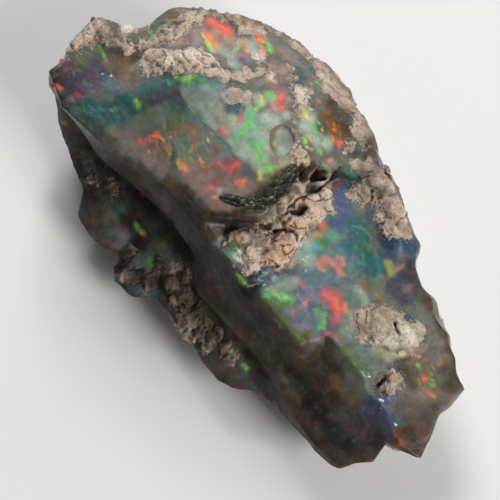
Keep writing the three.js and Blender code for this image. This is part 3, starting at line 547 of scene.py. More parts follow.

# Hairlines, glints and wisps of each colour, given as the flashes are. The white ones and the first mist
# one are painted glints.
HAIRLINES_AND_GLINTS = {
    "white": (
        (0.9, (100, 72), (104, 75), (109, 77)), (1.0, (107, 67), (110, 72), (114, 78)),
        (0.5, (102, 76), (107, 83)), (1.2, (306, 260), (307, 263)), (1.3, (303, 259), (309, 257)),
        (1.1, (305, 270), (307, 272)), (1.4, (309, 107), (311, 110)), (1.1, (322, 162), (325, 166)),
        (0.8, (258, 282), (262, 281)), (0.7, (262, 286), (266, 284)), (0.7, (265, 290), (270, 288)),
        (1.2, (379, 399), (383, 401)), (1.1, (381, 405), (382, 409)), (1.2, (394, 422), (396, 425)),
        (1.1, (354, 362), (358, 366)), (0.9, (366, 372), (370, 377)), (1.2, (305, 93), (312, 99)),
    ),
    "mist": (
        (0.8, (114, 78), (121, 84), (129, 91)), (0.7, (286, 312), (296, 322), (306, 332)),
        (0.6, (270, 288), (284, 278), (298, 268)), (0.6, (282, 300), (296, 290), (312, 282)),
        (0.6, (274, 284), (288, 274)),
    ),
    "milk": (
        (1.6, (240, 27), (239, 36), (237, 45), (233, 54), (228, 62)),
        (1.1, (244, 34), (240, 46), (233, 58)),
        (0.6, (182, 97), (193, 111), (205, 123), (216, 132), (229, 145)),
        (0.9, (246, 287), (270, 281), (292, 272)), (0.8, (258, 278), (262, 277)),
        (0.9, (338, 341), (352, 358), (366, 378)), (1.0, (297, 110), (306, 104), (314, 110)),
    ),
    "teal": ((0.6, (347, 235), (353, 247), (361, 261), (371, 286)),),
    "slate": ((0.8, (355, 235), (361, 247), (367, 256)),),
    "rose": ((0.7, (300, 292), (303, 285), (305, 281)),),
}

# Sprays of short strokes: colours, count, centre and spread in pixels, heading in degrees, and the
# ranges of length and half width in pixels.
SPRAYS = (
    (("ochre", "amber", "copper", "ochre"), 60, (190, 140), (24, 17), 62, (3, 9), (0.4, 1.0)),
    (("gold", "moss", "lichen", "lime"), 22, (186, 148), (24, 16), 62, (2, 6), (0.4, 0.8)),
    (("orange", "rose", "amber"), 16, (158, 142), (14, 9), 70, (2, 6), (0.5, 1.1)),
    (("ochre", "amber", "copper"), 14, (202, 162), (14, 8), 50, (3, 7), (0.5, 1.2)),
    (("emerald", "deep_teal", "deep_teal"), 30, (110, 108), (24, 12), 20, (3, 7), (0.5, 1.3)),
    (("emerald", "teal", "olive"), 10, (86, 108), (14, 9), 40, (2, 5), (0.5, 1.0)),
    (("fern", "emerald", "moss"), 12, (176, 116), (18, 10), 40, (3, 7), (0.6, 1.3)),
    (("jade", "teal", "emerald"), 16, (190, 84), (20, 5), 10, (3, 6), (0.8, 1.6)),
    (("crimson", "mauve", "dusk"), 8, (80, 82), (14, 14), 60, (3, 6), (0.6, 1.4)),
    (("green", "jade", "lime"), 14, (262, 152), (12, 22), 80, (2, 5), (0.4, 1.0)),
    (("crimson", "rose", "mauve"), 8, (226, 174), (18, 12), 60, (3, 6), (0.4, 0.9)),
    (("green", "jade", "moss"), 16, (276, 297), (16, 6), 15, (3, 9), (0.5, 1.1)),
    (("moss", "fern", "violet"), 14, (286, 318), (12, 10), 45, (5, 12), (0.4, 0.9)),
    (("violet", "mauve", "mist", "rose"), 14, (302, 296), (18, 14), 140, (4, 9), (0.8, 1.6)),
    (("copper", "orange", "chestnut"), 12, (332, 124), (8, 14), 80, (3, 6), (0.5, 1.2)),
    (("jade", "moss", "lime"), 8, (314, 134), (10, 12), 60, (2, 4), (0.5, 1.1)),
    (("teal", "deep_teal", "slate", "jade"), 34, (360, 240), (12, 24), 62, (10, 26), (0.4, 1.0)),
    (("salmon", "rose", "peach"), 10, (331, 266), (10, 8), 30, (3, 7), (1.0, 2.0)),
    (("green", "jade", "emerald"), 8, (322, 316), (6, 10), 80, (3, 6), (0.8, 1.6)),
    (("green", "moss", "copper"), 14, (424, 372), (12, 16), 60, (3, 6), (0.5, 1.2)),
    (("green", "lime", "jade"), 10, (240, 258), (10, 8), 40, (2, 4), (0.6, 1.3)),
    (("white", "milk"), 14, (240, 256), (8, 8), 40, (1.5, 3), (0.5, 1.0)),
    (("cyan", "jade", "white"), 14, (264, 281), (16, 5), 10, (2, 5), (0.5, 0.9)),
    (("salmon", "orange", "green"), 14, (318, 90), (12, 10), 60, (2, 4), (0.6, 1.2)),
    (("moss", "emerald"), 12, (362, 138), (6, 18), 70, (2, 4), (0.8, 1.6)),
)

# Tints of the crust, as the washes are given. Some rows are painted shade, as the comments say where they
# stand.
CRUST_WASHES = (
    ("sand", 1.2, (78, 44, 9), (88, 36, 8), (94, 28, 6)), ("drab", 2.0, (380, 313, 5)),
    ("drab", 5.0, (100, 38, 7), (110, 40, 8), (120, 46, 7), (114, 34, 7), (104, 46, 7)),
    ("white", 1.2, (124, 27, 6)), ("straw", 0.7, (72, 50, 7)),
    ("pink_beige", 1.2, (152, 56, 10), (170, 60, 12), (190, 56, 12), (206, 60, 10)),
    ("cream", 3.0, (172, 60, 9), (182, 56, 9), (198, 58, 7)),
    ("tan", 1.4, (212, 74, 10), (240, 76, 12), (262, 74, 10)), ("blush", 0.8, (240, 94, 8)),
    ("milk", 2.0, (224, 93, 5)), ("tan", 3.0, (352, 147, 5)), ("cream", 0.7, (258, 58, 7)),
    ("tan", 1.0, (200, 14, 10), (180, 30, 10), (230, 17, 8)),
    ("blush", 1.0, (270, 30, 10), (290, 42, 10)),
    ("tan", 1.2, (306, 56, 10), (322, 74, 10), (336, 94, 9)),
    ("fawn", 8.0, (340, 100, 7), (334, 92, 6)), ("grey", 6.0, (310, 85, 5)),
    # The next eight rows darken the crust's far rims and silhouettes, a few hollows in it, and the ground
    # round the root: partly its own darker crust and partly painted shade.
    ("fawn", 4.0, (296, 46, 8), (306, 55, 8), (318, 64, 8), (328, 76, 8), (338, 90, 7),
        (350, 100, 7), (313, 70, 5), (352, 108, 8), (362, 134, 7)),
    ("taupe", 6.0, (262, 22, 8), (276, 28, 9), (290, 35, 9), (304, 44, 10), (318, 54, 10),
        (333, 68, 10), (346, 84, 10), (356, 98, 10), (365, 112, 10), (372, 126, 10), (378, 140, 10),
        (384, 152, 10)),
    ("taupe", 4.0, (200, 6, 8), (212, 7, 8), (228, 11, 8), (246, 16, 8)),
    ("taupe", 4.0, (70, 42, 8), (78, 32, 8), (88, 22, 8), (98, 16, 7), (112, 22, 7)),
    ("smoke", 8.0, (372, 142, 7), (372, 154, 7), (366, 156, 5), (378, 162, 6), (380, 190, 5),
        (390, 193, 5)),
    ("smoke", 8.0, (403, 206, 5), (405, 213, 4), (272, 212, 4.5), (281, 205, 4.5), (288, 201, 4),
        (330, 184, 3.5)),
    ("drab", 6.0, (358, 117, 6), (366, 125, 6), (348, 112, 6), (342, 106, 5), (349, 100, 5),
        (330, 191, 4)),
    ("drab", 5.0, (174, 51, 3.5), (162, 34, 3.5), (264, 64, 3.5)),
    # The umber in two crevices here is painted shade.
    ("umber", 5.0, (294, 232, 3.5), (397, 333, 2.5)), ("straw", 0.8, (348, 124, 7), (358, 148, 5)),
    ("fern", 0.9, (358, 140, 6), (352, 152, 6), (370, 190, 6)),
    ("cream", 1.0, (300, 94, 8), (306, 88, 6)),
    ("fawn", 1.4, (293, 120, 8), (293, 134, 6), (294, 80, 6)), ("tan", 1.0, (297, 152, 7)),
    # The drab, taupe and chestnut rows of the tail's rim are partly its own darker crust and partly
    # painted shade on its upper part and far edge.
    ("drab", 3.0, (374, 166, 9), (362, 168, 7), (372, 182, 9), (384, 180, 7)),
    ("taupe", 8.0, (386, 160, 9), (391, 172, 10), (397, 184, 10), (404, 196, 10), (409, 208, 10),
        (413, 222, 9), (414, 234, 8)),
    ("fawn", 2.4, (360, 190, 8), (368, 196, 7), (380, 196, 7)),
    ("chestnut", 2.0, (374, 190, 4), (372, 176, 4)),
    ("fawn", 3.0, (400, 210, 8), (404, 230, 6), (388, 202, 6), (381, 181, 5)),
    ("tan", 4.0, (389, 212, 6), (396, 223, 7)), ("tan", 1.2, (390, 228, 8), (384, 210, 6)),
    ("peach", 3.0, (285, 243, 11), (276, 257, 9), (290, 224, 9), (302, 228, 8), (270, 262, 7),
        (297, 204, 5)),
    ("pink_beige", 2.0, (310, 202, 8), (316, 214, 8), (326, 196, 7), (304, 215, 6), (308, 210, 7)),
    ("tan", 2.0, (319, 184, 7), (306, 190, 5), (280, 208, 5), (265, 219, 4)),
    ("straw", 2.4, (326, 204, 5), (332, 208, 4)),
    ("fawn", 2.4, (296, 189, 7), (302, 195, 5), (306, 180, 5)),
    # The taupe row is painted shade round the root and under it.
    ("taupe", 6.0, (272, 212, 6), (280, 204, 6), (288, 198, 5), (286, 210, 5), (262, 220, 5),
        (300, 183, 5), (250, 232, 4), (292, 205, 4)),
    ("cream", 1.8, (312, 199, 5), (266, 232, 4)), ("cream", 4.0, (300, 240, 5), (269, 79, 5)),
    ("fawn", 3.0, (320, 205, 6), (311, 225, 5), (270, 255, 5)),
    # The next five rows are painted shade: under the ball lump, in the crevices and the hollow, and in
    # the gap under the head's lip.
    ("chestnut", 2.4, (299, 213, 3), (303, 210, 2.5)),
    ("chestnut", 4.0, (285, 230, 3.5), (262, 226, 4), (268, 225, 3), (314, 190, 3.5)),
    ("shade_brown", 9.0, (303, 172, 5), (309, 174, 4), (317, 175, 3)),
    ("fawn", 5.0, (326, 172, 4), (333, 170, 4)),
    ("black_brown", 9.0, (222, 222, 6), (234, 223, 6), (246, 222, 5), (255, 220, 4), (226, 229, 4),
        (214, 230, 5)),
    ("ochre", 6.0, (235, 234, 5), (241, 233, 4), (230, 237, 3.5)),
    ("beige", 3.0, (247, 238, 4), (251, 254, 5), (253, 267, 5)),
    ("fern", 5.0, (277, 219, 4.5), (274, 223, 4), (280, 215, 3)),
    ("milk", 1.6, (306, 234, 5), (226, 242, 5)),
    ("mauve", 4.0, (256, 238, 6), (257, 246, 4), (255, 230, 5)),
    ("beige", 3.0, (261, 253, 5), (228, 68, 5), (236, 84, 5)),
    ("lichen", 1.2, (380, 316, 9), (390, 322, 10), (400, 340, 10), (418, 332, 8), (394, 340, 8)),
    ("fawn", 3.0, (380, 312, 9), (420, 330, 9), (392, 320, 8)),
    ("cream", 2.4, (404, 332, 7), (410, 336, 6), (380, 340, 6), (396, 340, 6)),
    ("milk", 3.0, (228, 243, 4)),
    ("tan", 6.0, (372, 203, 6), (381, 205, 6), (388, 213, 6), (384, 222, 6), (318, 72, 4)),
    ("beige", 7.0, (308, 60, 5), (300, 52, 5), (292, 46, 5), (372, 204, 5), (380, 204, 5)),
    ("fawn", 3.4, (359, 318, 7), (364, 326, 7), (366, 312, 5), (374, 318, 6)),
    ("olive", 1.6, (374, 336, 5), (386, 349, 6), (400, 353, 5)),
    ("fawn", 4.0, (388, 376, 6), (398, 380, 6), (392, 386, 6)), ("tan", 1.0, (430, 320, 10)),
    # The shelf's crust: partly its own dark colour, partly painted shade.
    ("umber", 6.0, (190, 305, 16), (206, 326, 14), (224, 346, 14), (122, 268, 10), (170, 300, 10)),
    ("bark", 12.0, (128, 262, 9), (140, 272, 9), (150, 284, 9), (160, 264, 8), (134, 282, 8)),
    ("umber", 6.0, (140, 278, 12), (164, 282, 12), (180, 284, 10), (150, 262, 10)),
    ("smoke", 3.0, (226, 350, 12), (214, 336, 10)),
    ("smoke", 4.0, (88, 170, 10), (96, 184, 10), (112, 186, 8)),
    ("umber", 1.4, (92, 176, 5), (150, 284, 5)),
)

# Tints of the milky sheet, as the washes are given.
PANE_WASHES = (
    ("mist", 2.0, (190, 95, 6), (198, 96, 7), (208, 95, 7), (216, 97, 6)),
    ("milk", 2.4, (200, 111, 5), (207, 119, 6), (214, 127, 6), (222, 133, 6), (230, 142, 6)),
    ("lichen", 1.4, (214, 106, 7), (222, 112, 7)), ("milk", 1.6, (226, 108, 5), (228, 114, 5)),
    ("jade", 0.6, (240, 136, 9), (250, 126, 9), (256, 142, 9)),
    ("milk", 1.0, (232, 124, 9), (246, 148, 9), (262, 154, 8), (270, 122, 8)),
)

PANE_BASES = ("mist", "milk")
CRUST_BASES = ("beige", "sand", "tan", "pink_beige", "fawn")
STONE_BASES = ("mist", "smoke", "deep_teal", "mauve", "slate", "grey", "olive")
FLASH_BASES = ("red", "orange", "green", "lime", "jade", "cyan", "rose", "gold", "violet", "emerald")
PATCH_STOPS = (
    (0.0, "teal"), (0.14, "mist"), (0.3, "violet"), (0.42, "mauve"), (0.54, "jade"), (0.66, "salmon"),
    (0.78, "moss"), (0.9, "slate"),
)
# The root's colours from its low fibres to its high ones; the darkest low ones are partly painted shade.
ROOT_STOPS = ((0.36, "pitch"), (0.52, "bark"), (0.64, "olive"), (0.82, "lichen"))

# ---------- numbers ----------
FAR = 1e9


def linear(name):
    """A named colour as linear red, green and blue."""
    values = np.array(COLOURS[name]) / 255.0
    return np.where(values <= 0.04045, values / 12.92, ((values + 0.055) / 1.055) ** 2.4)


def ease(low, high, value):
    """0 below low, 1 above high, and smooth between them."""
    share = np.clip((value - low) / (high - low), 0.0, 1.0)
    return share * share * (3.0 - 2.0 * share)


def dome(away):
    """Height of a unit dome, at a distance that is given as a share of its radius."""
    return np.sqrt(np.clip(1.0 - away ** 2, 0.0, 1.0))


def rough(where, scale, octaves, seed):
    """Fractal noise of about -1 to 1 at each point."""
    shift = Vector((seed * 7.31, seed * 3.17, seed * -5.53))
    places = (Vector(at) * scale + shift for at in where.tolist())
    return np.array([noise.fractal(place, 1.0, 2.0, octaves) for place in places])


def rough_vectors(where, scale, octaves, seed):
    """Three values of noise at each point, from seed and the two seeds after it."""
    return np.stack([rough(where, scale, octaves, seed + axis) for axis in range(3)], axis=1)


def squared(where, centre):
    """Squared distance from each point to a centre."""
    offset = where - centre
    return np.einsum("ij,ij->i", offset, offset)


def nearest(where, centres):
    """Distance from each point to the nearest centre."""
    least = np.full(len(where), FAR)
    for centre in centres:
        np.minimum(least, squared(where, centre), out=least)
    return np.sqrt(least)


def norms(rows):
    """Length of each row."""
    return np.linalg.norm(rows, axis=1)


def unit(rows):
    """Rows, each made one long."""
    return rows / norms(rows)[:, None]


# ---------- meshes ----------
def vectors(items, key):
    """A property of each item, as rows of three numbers."""
    flat = np.empty(len(items) * 3, np.float32)
    items.foreach_get(key, flat)
    return flat.reshape(-1, 3).astype(float)


def raise_surface(mesh, where, direction, lift):
    """Move each vertex along its direction, and leave none below the floor."""
    raised = where + direction * lift[:, None]
    raised[:, 2] = np.maximum(raised[:, 2], 0.0)
    mesh.vertices.foreach_set("co", (raised * MM).astype(np.float32).ravel())
    mesh.update()
    smooth_shading(mesh)


def smooth_shading(mesh):
    for face in mesh.polygons:
        face.use_smooth = True


def keep_value(mesh, name, values):
    attribute = mesh.attributes.new(name, "FLOAT", "POINT")
    attribute.data.foreach_set("value", values.astype(np.float32))


def keep_colour(mesh, name, values):
    attribute = mesh.attributes.new(name, "FLOAT_COLOR", "POINT")
    filled = np.ones((len(values), 4), np.float32)
    filled[:, :3] = values
    attribute.data.foreach_set("color", filled.ravel())


def new_object(name, mesh):
    made = bpy.data.objects.new(name, mesh)
    bpy.context.scene.collection.objects.link(made)
    return made


MERGE_DISTANCE = 0.002
QUAD_ANGLE = math.radians(25)
QUAD_SHAPE = math.radians(80)
SHARP = math.radians(34)
CREASE = 0.55
SUBDIVISIONS = 2


def smooth_stone():
    """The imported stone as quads, with its sharp edges kept, subdivided."""
    shape = bmesh.new()
    shape.from_mesh(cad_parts[NODE].data)
    bmesh.ops.remove_doubles(shape, verts=shape.verts, dist=MERGE_DISTANCE * MM)
    bmesh.ops.join_triangles(
        shape, faces=shape.faces, angle_face_threshold=QUAD_ANGLE, angle_shape_threshold=QUAD_SHAPE
    )
    crease = shape.edges.layers.float.new("crease_edge")
    for edge in shape.edges:
        if len(edge.link_faces) == 2 and edge.calc_face_angle(0.0) > SHARP:
            edge[crease] = CREASE
    mesh = bpy.data.meshes.new("stone_cage")
    shape.to_mesh(mesh)
    shape.free()
    cage = new_object("stone_cage", mesh)
    modifier = cage.modifiers.new("smooth", "SUBSURF")
    modifier.levels = SUBDIVISIONS
    modifier.render_levels = SUBDIVISIONS
    graph = bpy.context.evaluated_depsgraph_get()
    made = bpy.data.meshes.new_from_object(cage.evaluated_get(graph))
    bpy.data.objects.remove(cage)
    return made


stone = smooth_stone()
points = vectors(stone.vertices, "co") / MM
facing = vectors(stone.vertex_normals, "vector")
polygons = [tuple(face.vertices) for face in stone.polygons]
surface = BVHTree.FromPolygons(points.tolist(), polygons)

# ---------- from a pixel of the photograph to the stone ----------
SEARCH_REACH = 9.0
SEARCH_STEP = 0.5
GRAZING = 0.12
CLEAR_OF_SURFACE = 0.05
CLEAR_OF_START = 0.02


def seen(x, y):
    """The point of the stone that the camera sees at a pixel, or else the point nearest to its ray."""
    ray = (
        AHEAD * DISTANCE
        + ACROSS * (x - HALF_IMAGE) / PIXELS_PER_MM
        + UPWARD * (HALF_IMAGE - y) / PIXELS_PER_MM
    )
    ray /= np.linalg.norm(ray)
    hit = surface.ray_cast(Vector(EYE), Vector(ray))[0]
    if hit is not None:
        return np.array(hit)
    best = None
    for depth in np.arange(DISTANCE - SEARCH_REACH, DISTANCE + SEARCH_REACH, SEARCH_STEP):
        found = surface.find_nearest(Vector(EYE + ray * depth))
        if best is None or found[3] < best[0]:
            best = (found[3], np.array(found[0]))
    return best[1]


def along(stroke, spacing):
    """Points of the stone under a line of pixels."""
    found = [seen(*stroke[0])]
    for start, end in zip(stroke, stroke[1:]):
        steps = max(1, math.ceil(math.dist(start, end) / spacing))
        for step in range(1, steps + 1):
            share = step / steps
            found.append(seen(*(a + (b - a) * share for a, b in zip(start, end))))
    return found


def in_view(where, normal):
    """1 where the photograph shows the surface, 0 where it is turned away or covered."""
    made = np.zeros(len(where))
    for index, (at, out) in enumerate(zip(where, normal)):
        to_eye = EYE - at
        reach = np.linalg.norm(to_eye)
        to_eye /= reach
        if out @ to_eye < GRAZING:
            continue
        start = at + out * CLEAR_OF_SURFACE + to_eye * CLEAR_OF_START
        hit = surface.ray_cast(Vector(start), Vector(to_eye), reach)[0]
        made[index] = 1.0 if hit is None else 0.0
    return made


def pixels_of(where):
    """Pixel positions of points of the stone."""
    offset = where - EYE
    depth = offset @ AHEAD
    across = HALF_IMAGE + offset @ ACROSS / depth * DISTANCE * PIXELS_PER_MM
    down = HALF_IMAGE - offset @ UPWARD / depth * DISTANCE * PIXELS_PER_MM
    return np.stack([across, down], axis=1)


pairs = np.array([(edge.vertices[0], edge.vertices[1]) for edge in stone.edges])


def spread(values, times):
    """Values averaged with those of the vertices next to them."""
    count = np.ones(len(values))
    np.add.at(count, pairs[:, 0], 1.0)
    np.add.at(count, pairs[:, 1], 1.0)
    for _ in range(times):
        total = values.copy()
        np.add.at(total, pairs[:, 0], values[pairs[:, 1]])
        np.add.at(total, pairs[:, 1], values[pairs[:, 0]])
        values = total / count
    return values


VIEW_BLUR = 4
NEAR_VIEW = 0.02
NEAR_VIEW_BLUR = 22
NORMAL_BLUR = 5

shown = spread(in_view(points, facing), VIEW_BLUR)
near_view = spread((shown > NEAR_VIEW).astype(float), NEAR_VIEW_BLUR)
eased = unit(np.stack([spread(facing[:, axis], NORMAL_BLUR) for axis in range(3)], axis=1))

# ---------- the fields ----------
CRUST_GROWTH = 2.6
CRUST_WARPS = ((1.3, 0.30), (4.0, 0.12))
HIDDEN_WARP = (0.45, 1.6)
NO_CRUST = -3.0
CRUST_EDGE = 0.12
BARE_BASE = 0.25
WILD_CRUST = 1.6
WILD_CRUST_LOW = 0.35
WILD_CRUST_LEVEL = -0.45
WILD_CRUST_IN_VIEW = -6.0
CREVICE_SPACING = 1.0
CREVICE_LIPS = 0.8
CREVICE_SLOPE = 2.1
CRACK_SPACING = 0.8
SHEET_GROWTH = 1.25

crust_centres = [(seen(x, y), (radius + CRUST_GROWTH) / PIXELS_PER_MM) for x, y, radius in CRUST_SPOTS]
crust_centres += [(np.array([x, y, z]), radius) for x, y, z, radius in HIDDEN_CRUST]
lump_centres = [(seen(x, y), radius / PIXELS_PER_MM, height) for x, y, radius, height in LUMPS]
crevices = [(along(line, CREVICE_SPACING), width, depth) for line, width, depth in CREVICES]
fine_cracks = [point for line in FINE_CRACKS for point in along(line, CRACK_SPACING)]
nudge_centres = [(seen(x, y), radius, lift) for x, y, radius, lift in NUDGES]


def crust_field(where, normal, visible):
    """Depth in mm inside the crust's outline: above 0 there is crust."""
    moved = where.copy()
    for scale, amount in CRUST_WARPS:
        moved += rough_vectors(where, scale, 2, seed=40) * amount
    scale, amount = HIDDEN_WARP
    moved += rough_vectors(where, scale, 3, seed=50) * (amount * (1.0 - visible))[:, None]
    field = np.full(len(where), NO_CRUST)
    for centre, radius in crust_centres:
        np.maximum(field, radius - norms(moved - centre), out=field)
    # wild crust: patches where the photograph doesn't show the stone, larger low down
    height = where[:, 2]
    wild = rough(where, 0.33, 3, seed=3) * WILD_CRUST + ease(4.5, 1.0, height) * WILD_CRUST_LOW
    field = np.maximum(field, wild + WILD_CRUST_LEVEL + visible * WILD_CRUST_IN_VIEW)
    field += (rough(where, 1.8, 3, seed=5) + rough(where, 5.0, 3, seed=6) * 0.9) * CRUST_EDGE
    base = ease(0.5, BARE_BASE, height) * ease(0.5, 0.8, -normal[:, 2])
    return field + base * NO_CRUST


def crevice_depth(where):
    """Depth in mm of the open crevices, with ragged lips."""
    depth = np.zeros(len(where))
    ragged = rough(where, 2.6, 3, seed=12)
    for line, width, deep in crevices:
        away = nearest(where, line) + ragged * width * CREVICE_LIPS
        np.maximum(depth, deep * ease(width * CREVICE_SLOPE, 0.0, away), out=depth)
    return depth


def lump_height(where):
    height = np.zeros(len(where))
    for centre, radius, lift in lump_centres:
        np.maximum(height, lift * dome(norms(where - centre) / radius), out=height)
    return height


def nudge(where):
    """Broad corrections of the outline, in mm along the normal."""
    total = np.zeros(len(where))
    for centre, radius, lift in nudge_centres:
        total += lift * ease(1.0, 0.0, norms(where - centre) / radius)
    return total


def past_line(at, line):
    """Signed distance of pixel positions from a line, above 0 on the milky sheet's side."""
    away = np.full(len(at), FAR)
    side = np.zeros(len(at))
    for start, end in zip(line, line[1:]):
        run = end - start
        share = np.clip(((at - start) @ run) / (run @ run), 0.0, 1.0)
        offset = at - (start + share[:, None] * run)
        distance = norms(offset)
        closer = distance < away
        away[closer] = distance[closer]
        side[closer] = (run[0] * offset[:, 1] - run[1] * offset[:, 0])[closer]
    return np.where(side < 0, away, -away)


def sheet_amount(where, visible):
    """How much of the milky sheet lies at each point: it ends along a crisp line."""
    at = pixels_of(where)
    inside = past_line(at, np.array(SHEET_EDGE, float)) / PIXELS_PER_MM
    area = np.full(len(where), -1.0)
    for x, y, radius in SHEET_AREA:
        np.maximum(area, 1.0 - norms(at - (x, y)) / (radius * SHEET_GROWTH), out=area)
    return ease(-0.05, 0.05, inside) * ease(0.0, 0.55, area) * visible


def pit_fields(where, visible):
    """Depth of the pit in mm, how far inside its lip each point is, and how far inside its floor."""
    offset = (pixels_of(where) - PIT["at"]) / PIT["half"]
    away = norms(offset) + rough(where, 1.4, 2, seed=17) * PIT["ragged"]
    away += 2.0 * (1.0 - ease(0.2, 0.6, visible))
    return PIT["depth"] * dome(away), 1.0 - away, PIT["floor_size"] - norms(offset - PIT["floor"])


def swells(where, table):
    """Soft amounts round named places, added up."""
    made = np.zeros(len(where))
    for x, y, radius, amount in table:
        made += amount * np.exp(-squared(where, seen(x, y)) / (radius / PIXELS_PER_MM) ** 2)
    return made


# ---------- body colour ----------
RICHNESS = 1.3
CRUST_RICHNESS = 0.9
STONE_BASE_WEIGHT = 0.10
CRUST_BASE_WEIGHT = 0.3
PANE_BASE_WEIGHT = 0.25
PANE_STRENGTH = 0.85
BASE_CONTRAST = 3.2
WASH_DRIFT = 0.22
WASH_SHARPNESS = 1.3
# Painted shade on the front walls: the way they face, and how much umber they get.
SHADED_WALL_FACES = np.array([0.2, -0.98, 0.0])
WALL_SHADE_WEIGHT = 0.5
DARKEST = 0.004
TRACE = 1e-6


class Tint:
    """A colour at each point: the weighted mean of the colours that are added to a trace of mist."""

    def __init__(self, count):
        self.total = np.tile(linear("mist") * TRACE, (count, 1))
        self.weight = np.full(count, TRACE)

    def add(self, name, share):
        self.total += share[:, None] * linear(name)
        self.weight += share

    def mean(self):
        return self.total / self.weight[:, None]


def washes(where, table, bases, seed, base_weight, richness, normal=None):
    """Body colour: a cloudy base, front walls darker where there is a normal (partly their own brown,
    partly painted shade), and the washes over it.
    """
    tint = Tint(len(where))
    for index, name in enumerate(bases):
        cloud = rough(where, 0.42, 2, seed + index)
        tint.add(name, np.exp(cloud * BASE_CONTRAST) * base_weight / len(bases))
    if normal is not None:
        # painted shade on walls that face the front and lie low, over their own dark brown
        wall_shade = ease(0.3, 0.7, normal @ SHADED_WALL_FACES) * ease(9.0, 7.0, where[:, 2])
        tint.add("umber", wall_shade * WALL_SHADE_WEIGHT)
    moved = where + rough_vectors(where, 1.1, 2, seed + 20) * WASH_DRIFT
    for name, strength, *spots in table:
        near = np.full(len(where), FAR)
        for x, y, radius in spots:
            np.minimum(near, squared(moved, seen(x, y)) / (radius / PIXELS_PER_MM) ** 2, out=near)
        tint.add(name, strength * np.exp(-near * WASH_SHARPNESS))
    colour = tint.mean()
    grey = colour.mean(axis=1)[:, None]
    return np.clip(grey + (colour - grey) * richness, DARKEST, 1.0)


def crust_tint(where):
    return washes(where, CRUST_WASHES, CRUST_BASES, 61, CRUST_BASE_WEIGHT, CRUST_RICHNESS)


def opal_tint(where, normal, sheet):
    """The opal's body colour, with painted shade in it, and the milky sheet's own colour on it."""
    tint = washes(where, WASHES, STONE_BASES, 31, STONE_BASE_WEIGHT, RICHNESS, normal)
    pane = washes(where, PANE_WASHES, PANE_BASES, 91, PANE_BASE_WEIGHT, 1.0)
    return tint + (pane - tint) * (sheet * PANE_STRENGTH)[:, None]


# ---------- flashes ----------
HIDDEN_FLASHES = 420
HIDDEN_BELOW = 0.05
HIDDEN_LENGTHS = (0.1, 0.9)
HIDDEN_WIDTHS = (0.07, 0.3)
HIDDEN_STEP = 0.12
FLASH_BLEND = 0.06
BLEND_DEPTHS = (-0.7, 0.3)
NO_FLASH = -0.45
NO_FLASH_SIZE = 0.1
STROKE_SPACING = 1.5
HAIR_SPACING = 1.0
SPRAY_LIMIT = 1.8
SPRAY_REACH = 0.6
SPRAY_TURN = 28
SPRAY_BEND = 0.2


def drawn_strokes(table, spacing):
    return [
        (name, width / PIXELS_PER_MM, along(line, spacing))
        for name, strokes in table.items() for width, *line in strokes
    ]


def random_flashes(generator, visible, count):
    """Strokes scattered over the sides that the photograph doesn't show."""
    hidden = np.flatnonzero(visible < HIDDEN_BELOW)
    made = []
    for start in generator.choice(hidden, count, replace=False):
        heading = generator.normal(size=3)
        heading -= facing[start] * (heading @ facing[start])
        heading /= np.linalg.norm(heading)
        length = generator.uniform(*HIDDEN_LENGTHS)
        steps = 1 + int(length / HIDDEN_STEP)
        line = []
        for step in range(steps):
            at = points[start] + heading * length * step / steps
            line.append(np.array(surface.find_nearest(Vector(at))[0]))
        name = FLASH_BASES[int(generator.integers(len(FLASH_BASES)))]
        made.append((name, generator.uniform(*HIDDEN_WIDTHS), line))
    return made


def sprays(generator):
    """Short bent strokes, scattered round each spray's centre."""
    made = []
    for names, count, centre, reach, heading, lengths, widths in SPRAYS:
        for _ in range(count):
            x, y = (
                at + np.clip(generator.normal(), -SPRAY_LIMIT, SPRAY_LIMIT) * out * SPRAY_REACH
                for at, out in zip(centre, reach)
            )
            angle = math.radians(heading + generator.normal() * SPRAY_TURN)
            length = generator.uniform(*lengths)
            bend = generator.normal() * length * SPRAY_BEND
            run, rise = math.cos(angle), math.sin(angle)
            end = (x + run * length, y + rise * length)
            middle = ((x + end[0]) / 2 - rise * bend, (y + end[1]) / 2 + run * bend)
            name = names[int(generator.integers(len(names)))]
            width = generator.uniform(*widths) / PIXELS_PER_MM
            made.append((name, width, along(((x, y), middle, end), STROKE_SPACING)))
    return made


def flash_fields(where, strokes):
    """Signed depth in mm inside the nearest stroke, a blend of the strokes' colours, and half width."""
    depth = np.full(len(where), NO_FLASH)
    size = np.full(len(where), NO_FLASH_SIZE)
    tint = Tint(len(where))
    for name, width, line in strokes:
        inside = width - nearest(where, line)
        tint.add(name, np.exp(np.clip(inside, *BLEND_DEPTHS) / FLASH_BLEND))
        better = inside > depth
        depth[better] = inside[better]
        size[better] = width
    return depth, tint.mean(), size


# ---------- the opal ----------
SWELL = 0.035
RIPPLE = 0.012
SHEET_THICKNESS = 0.09
UNDER_CRUST = 0.26
HIDDEN_FIRE = 0.9


def shape_opal(field, sheet, crevice, pit_depth):
    """Ripples, the sheet's step, the pit and the crevices, and a bed for the crust to lie in."""
    lift = nudge(points) + rough(points, 0.8, 3, seed=1) * SWELL + rough(points, 3.2, 2, seed=2) * RIPPLE
    lift += sheet * SHEET_THICKNESS
    lift -= ease(0.10, 0.36, field) * UNDER_CRUST
    lift -= crevice
    lift -= pit_depth
    lift *= ease(0.02, 0.6, points[:, 2])
    raise_surface(stone, points, eased, lift)


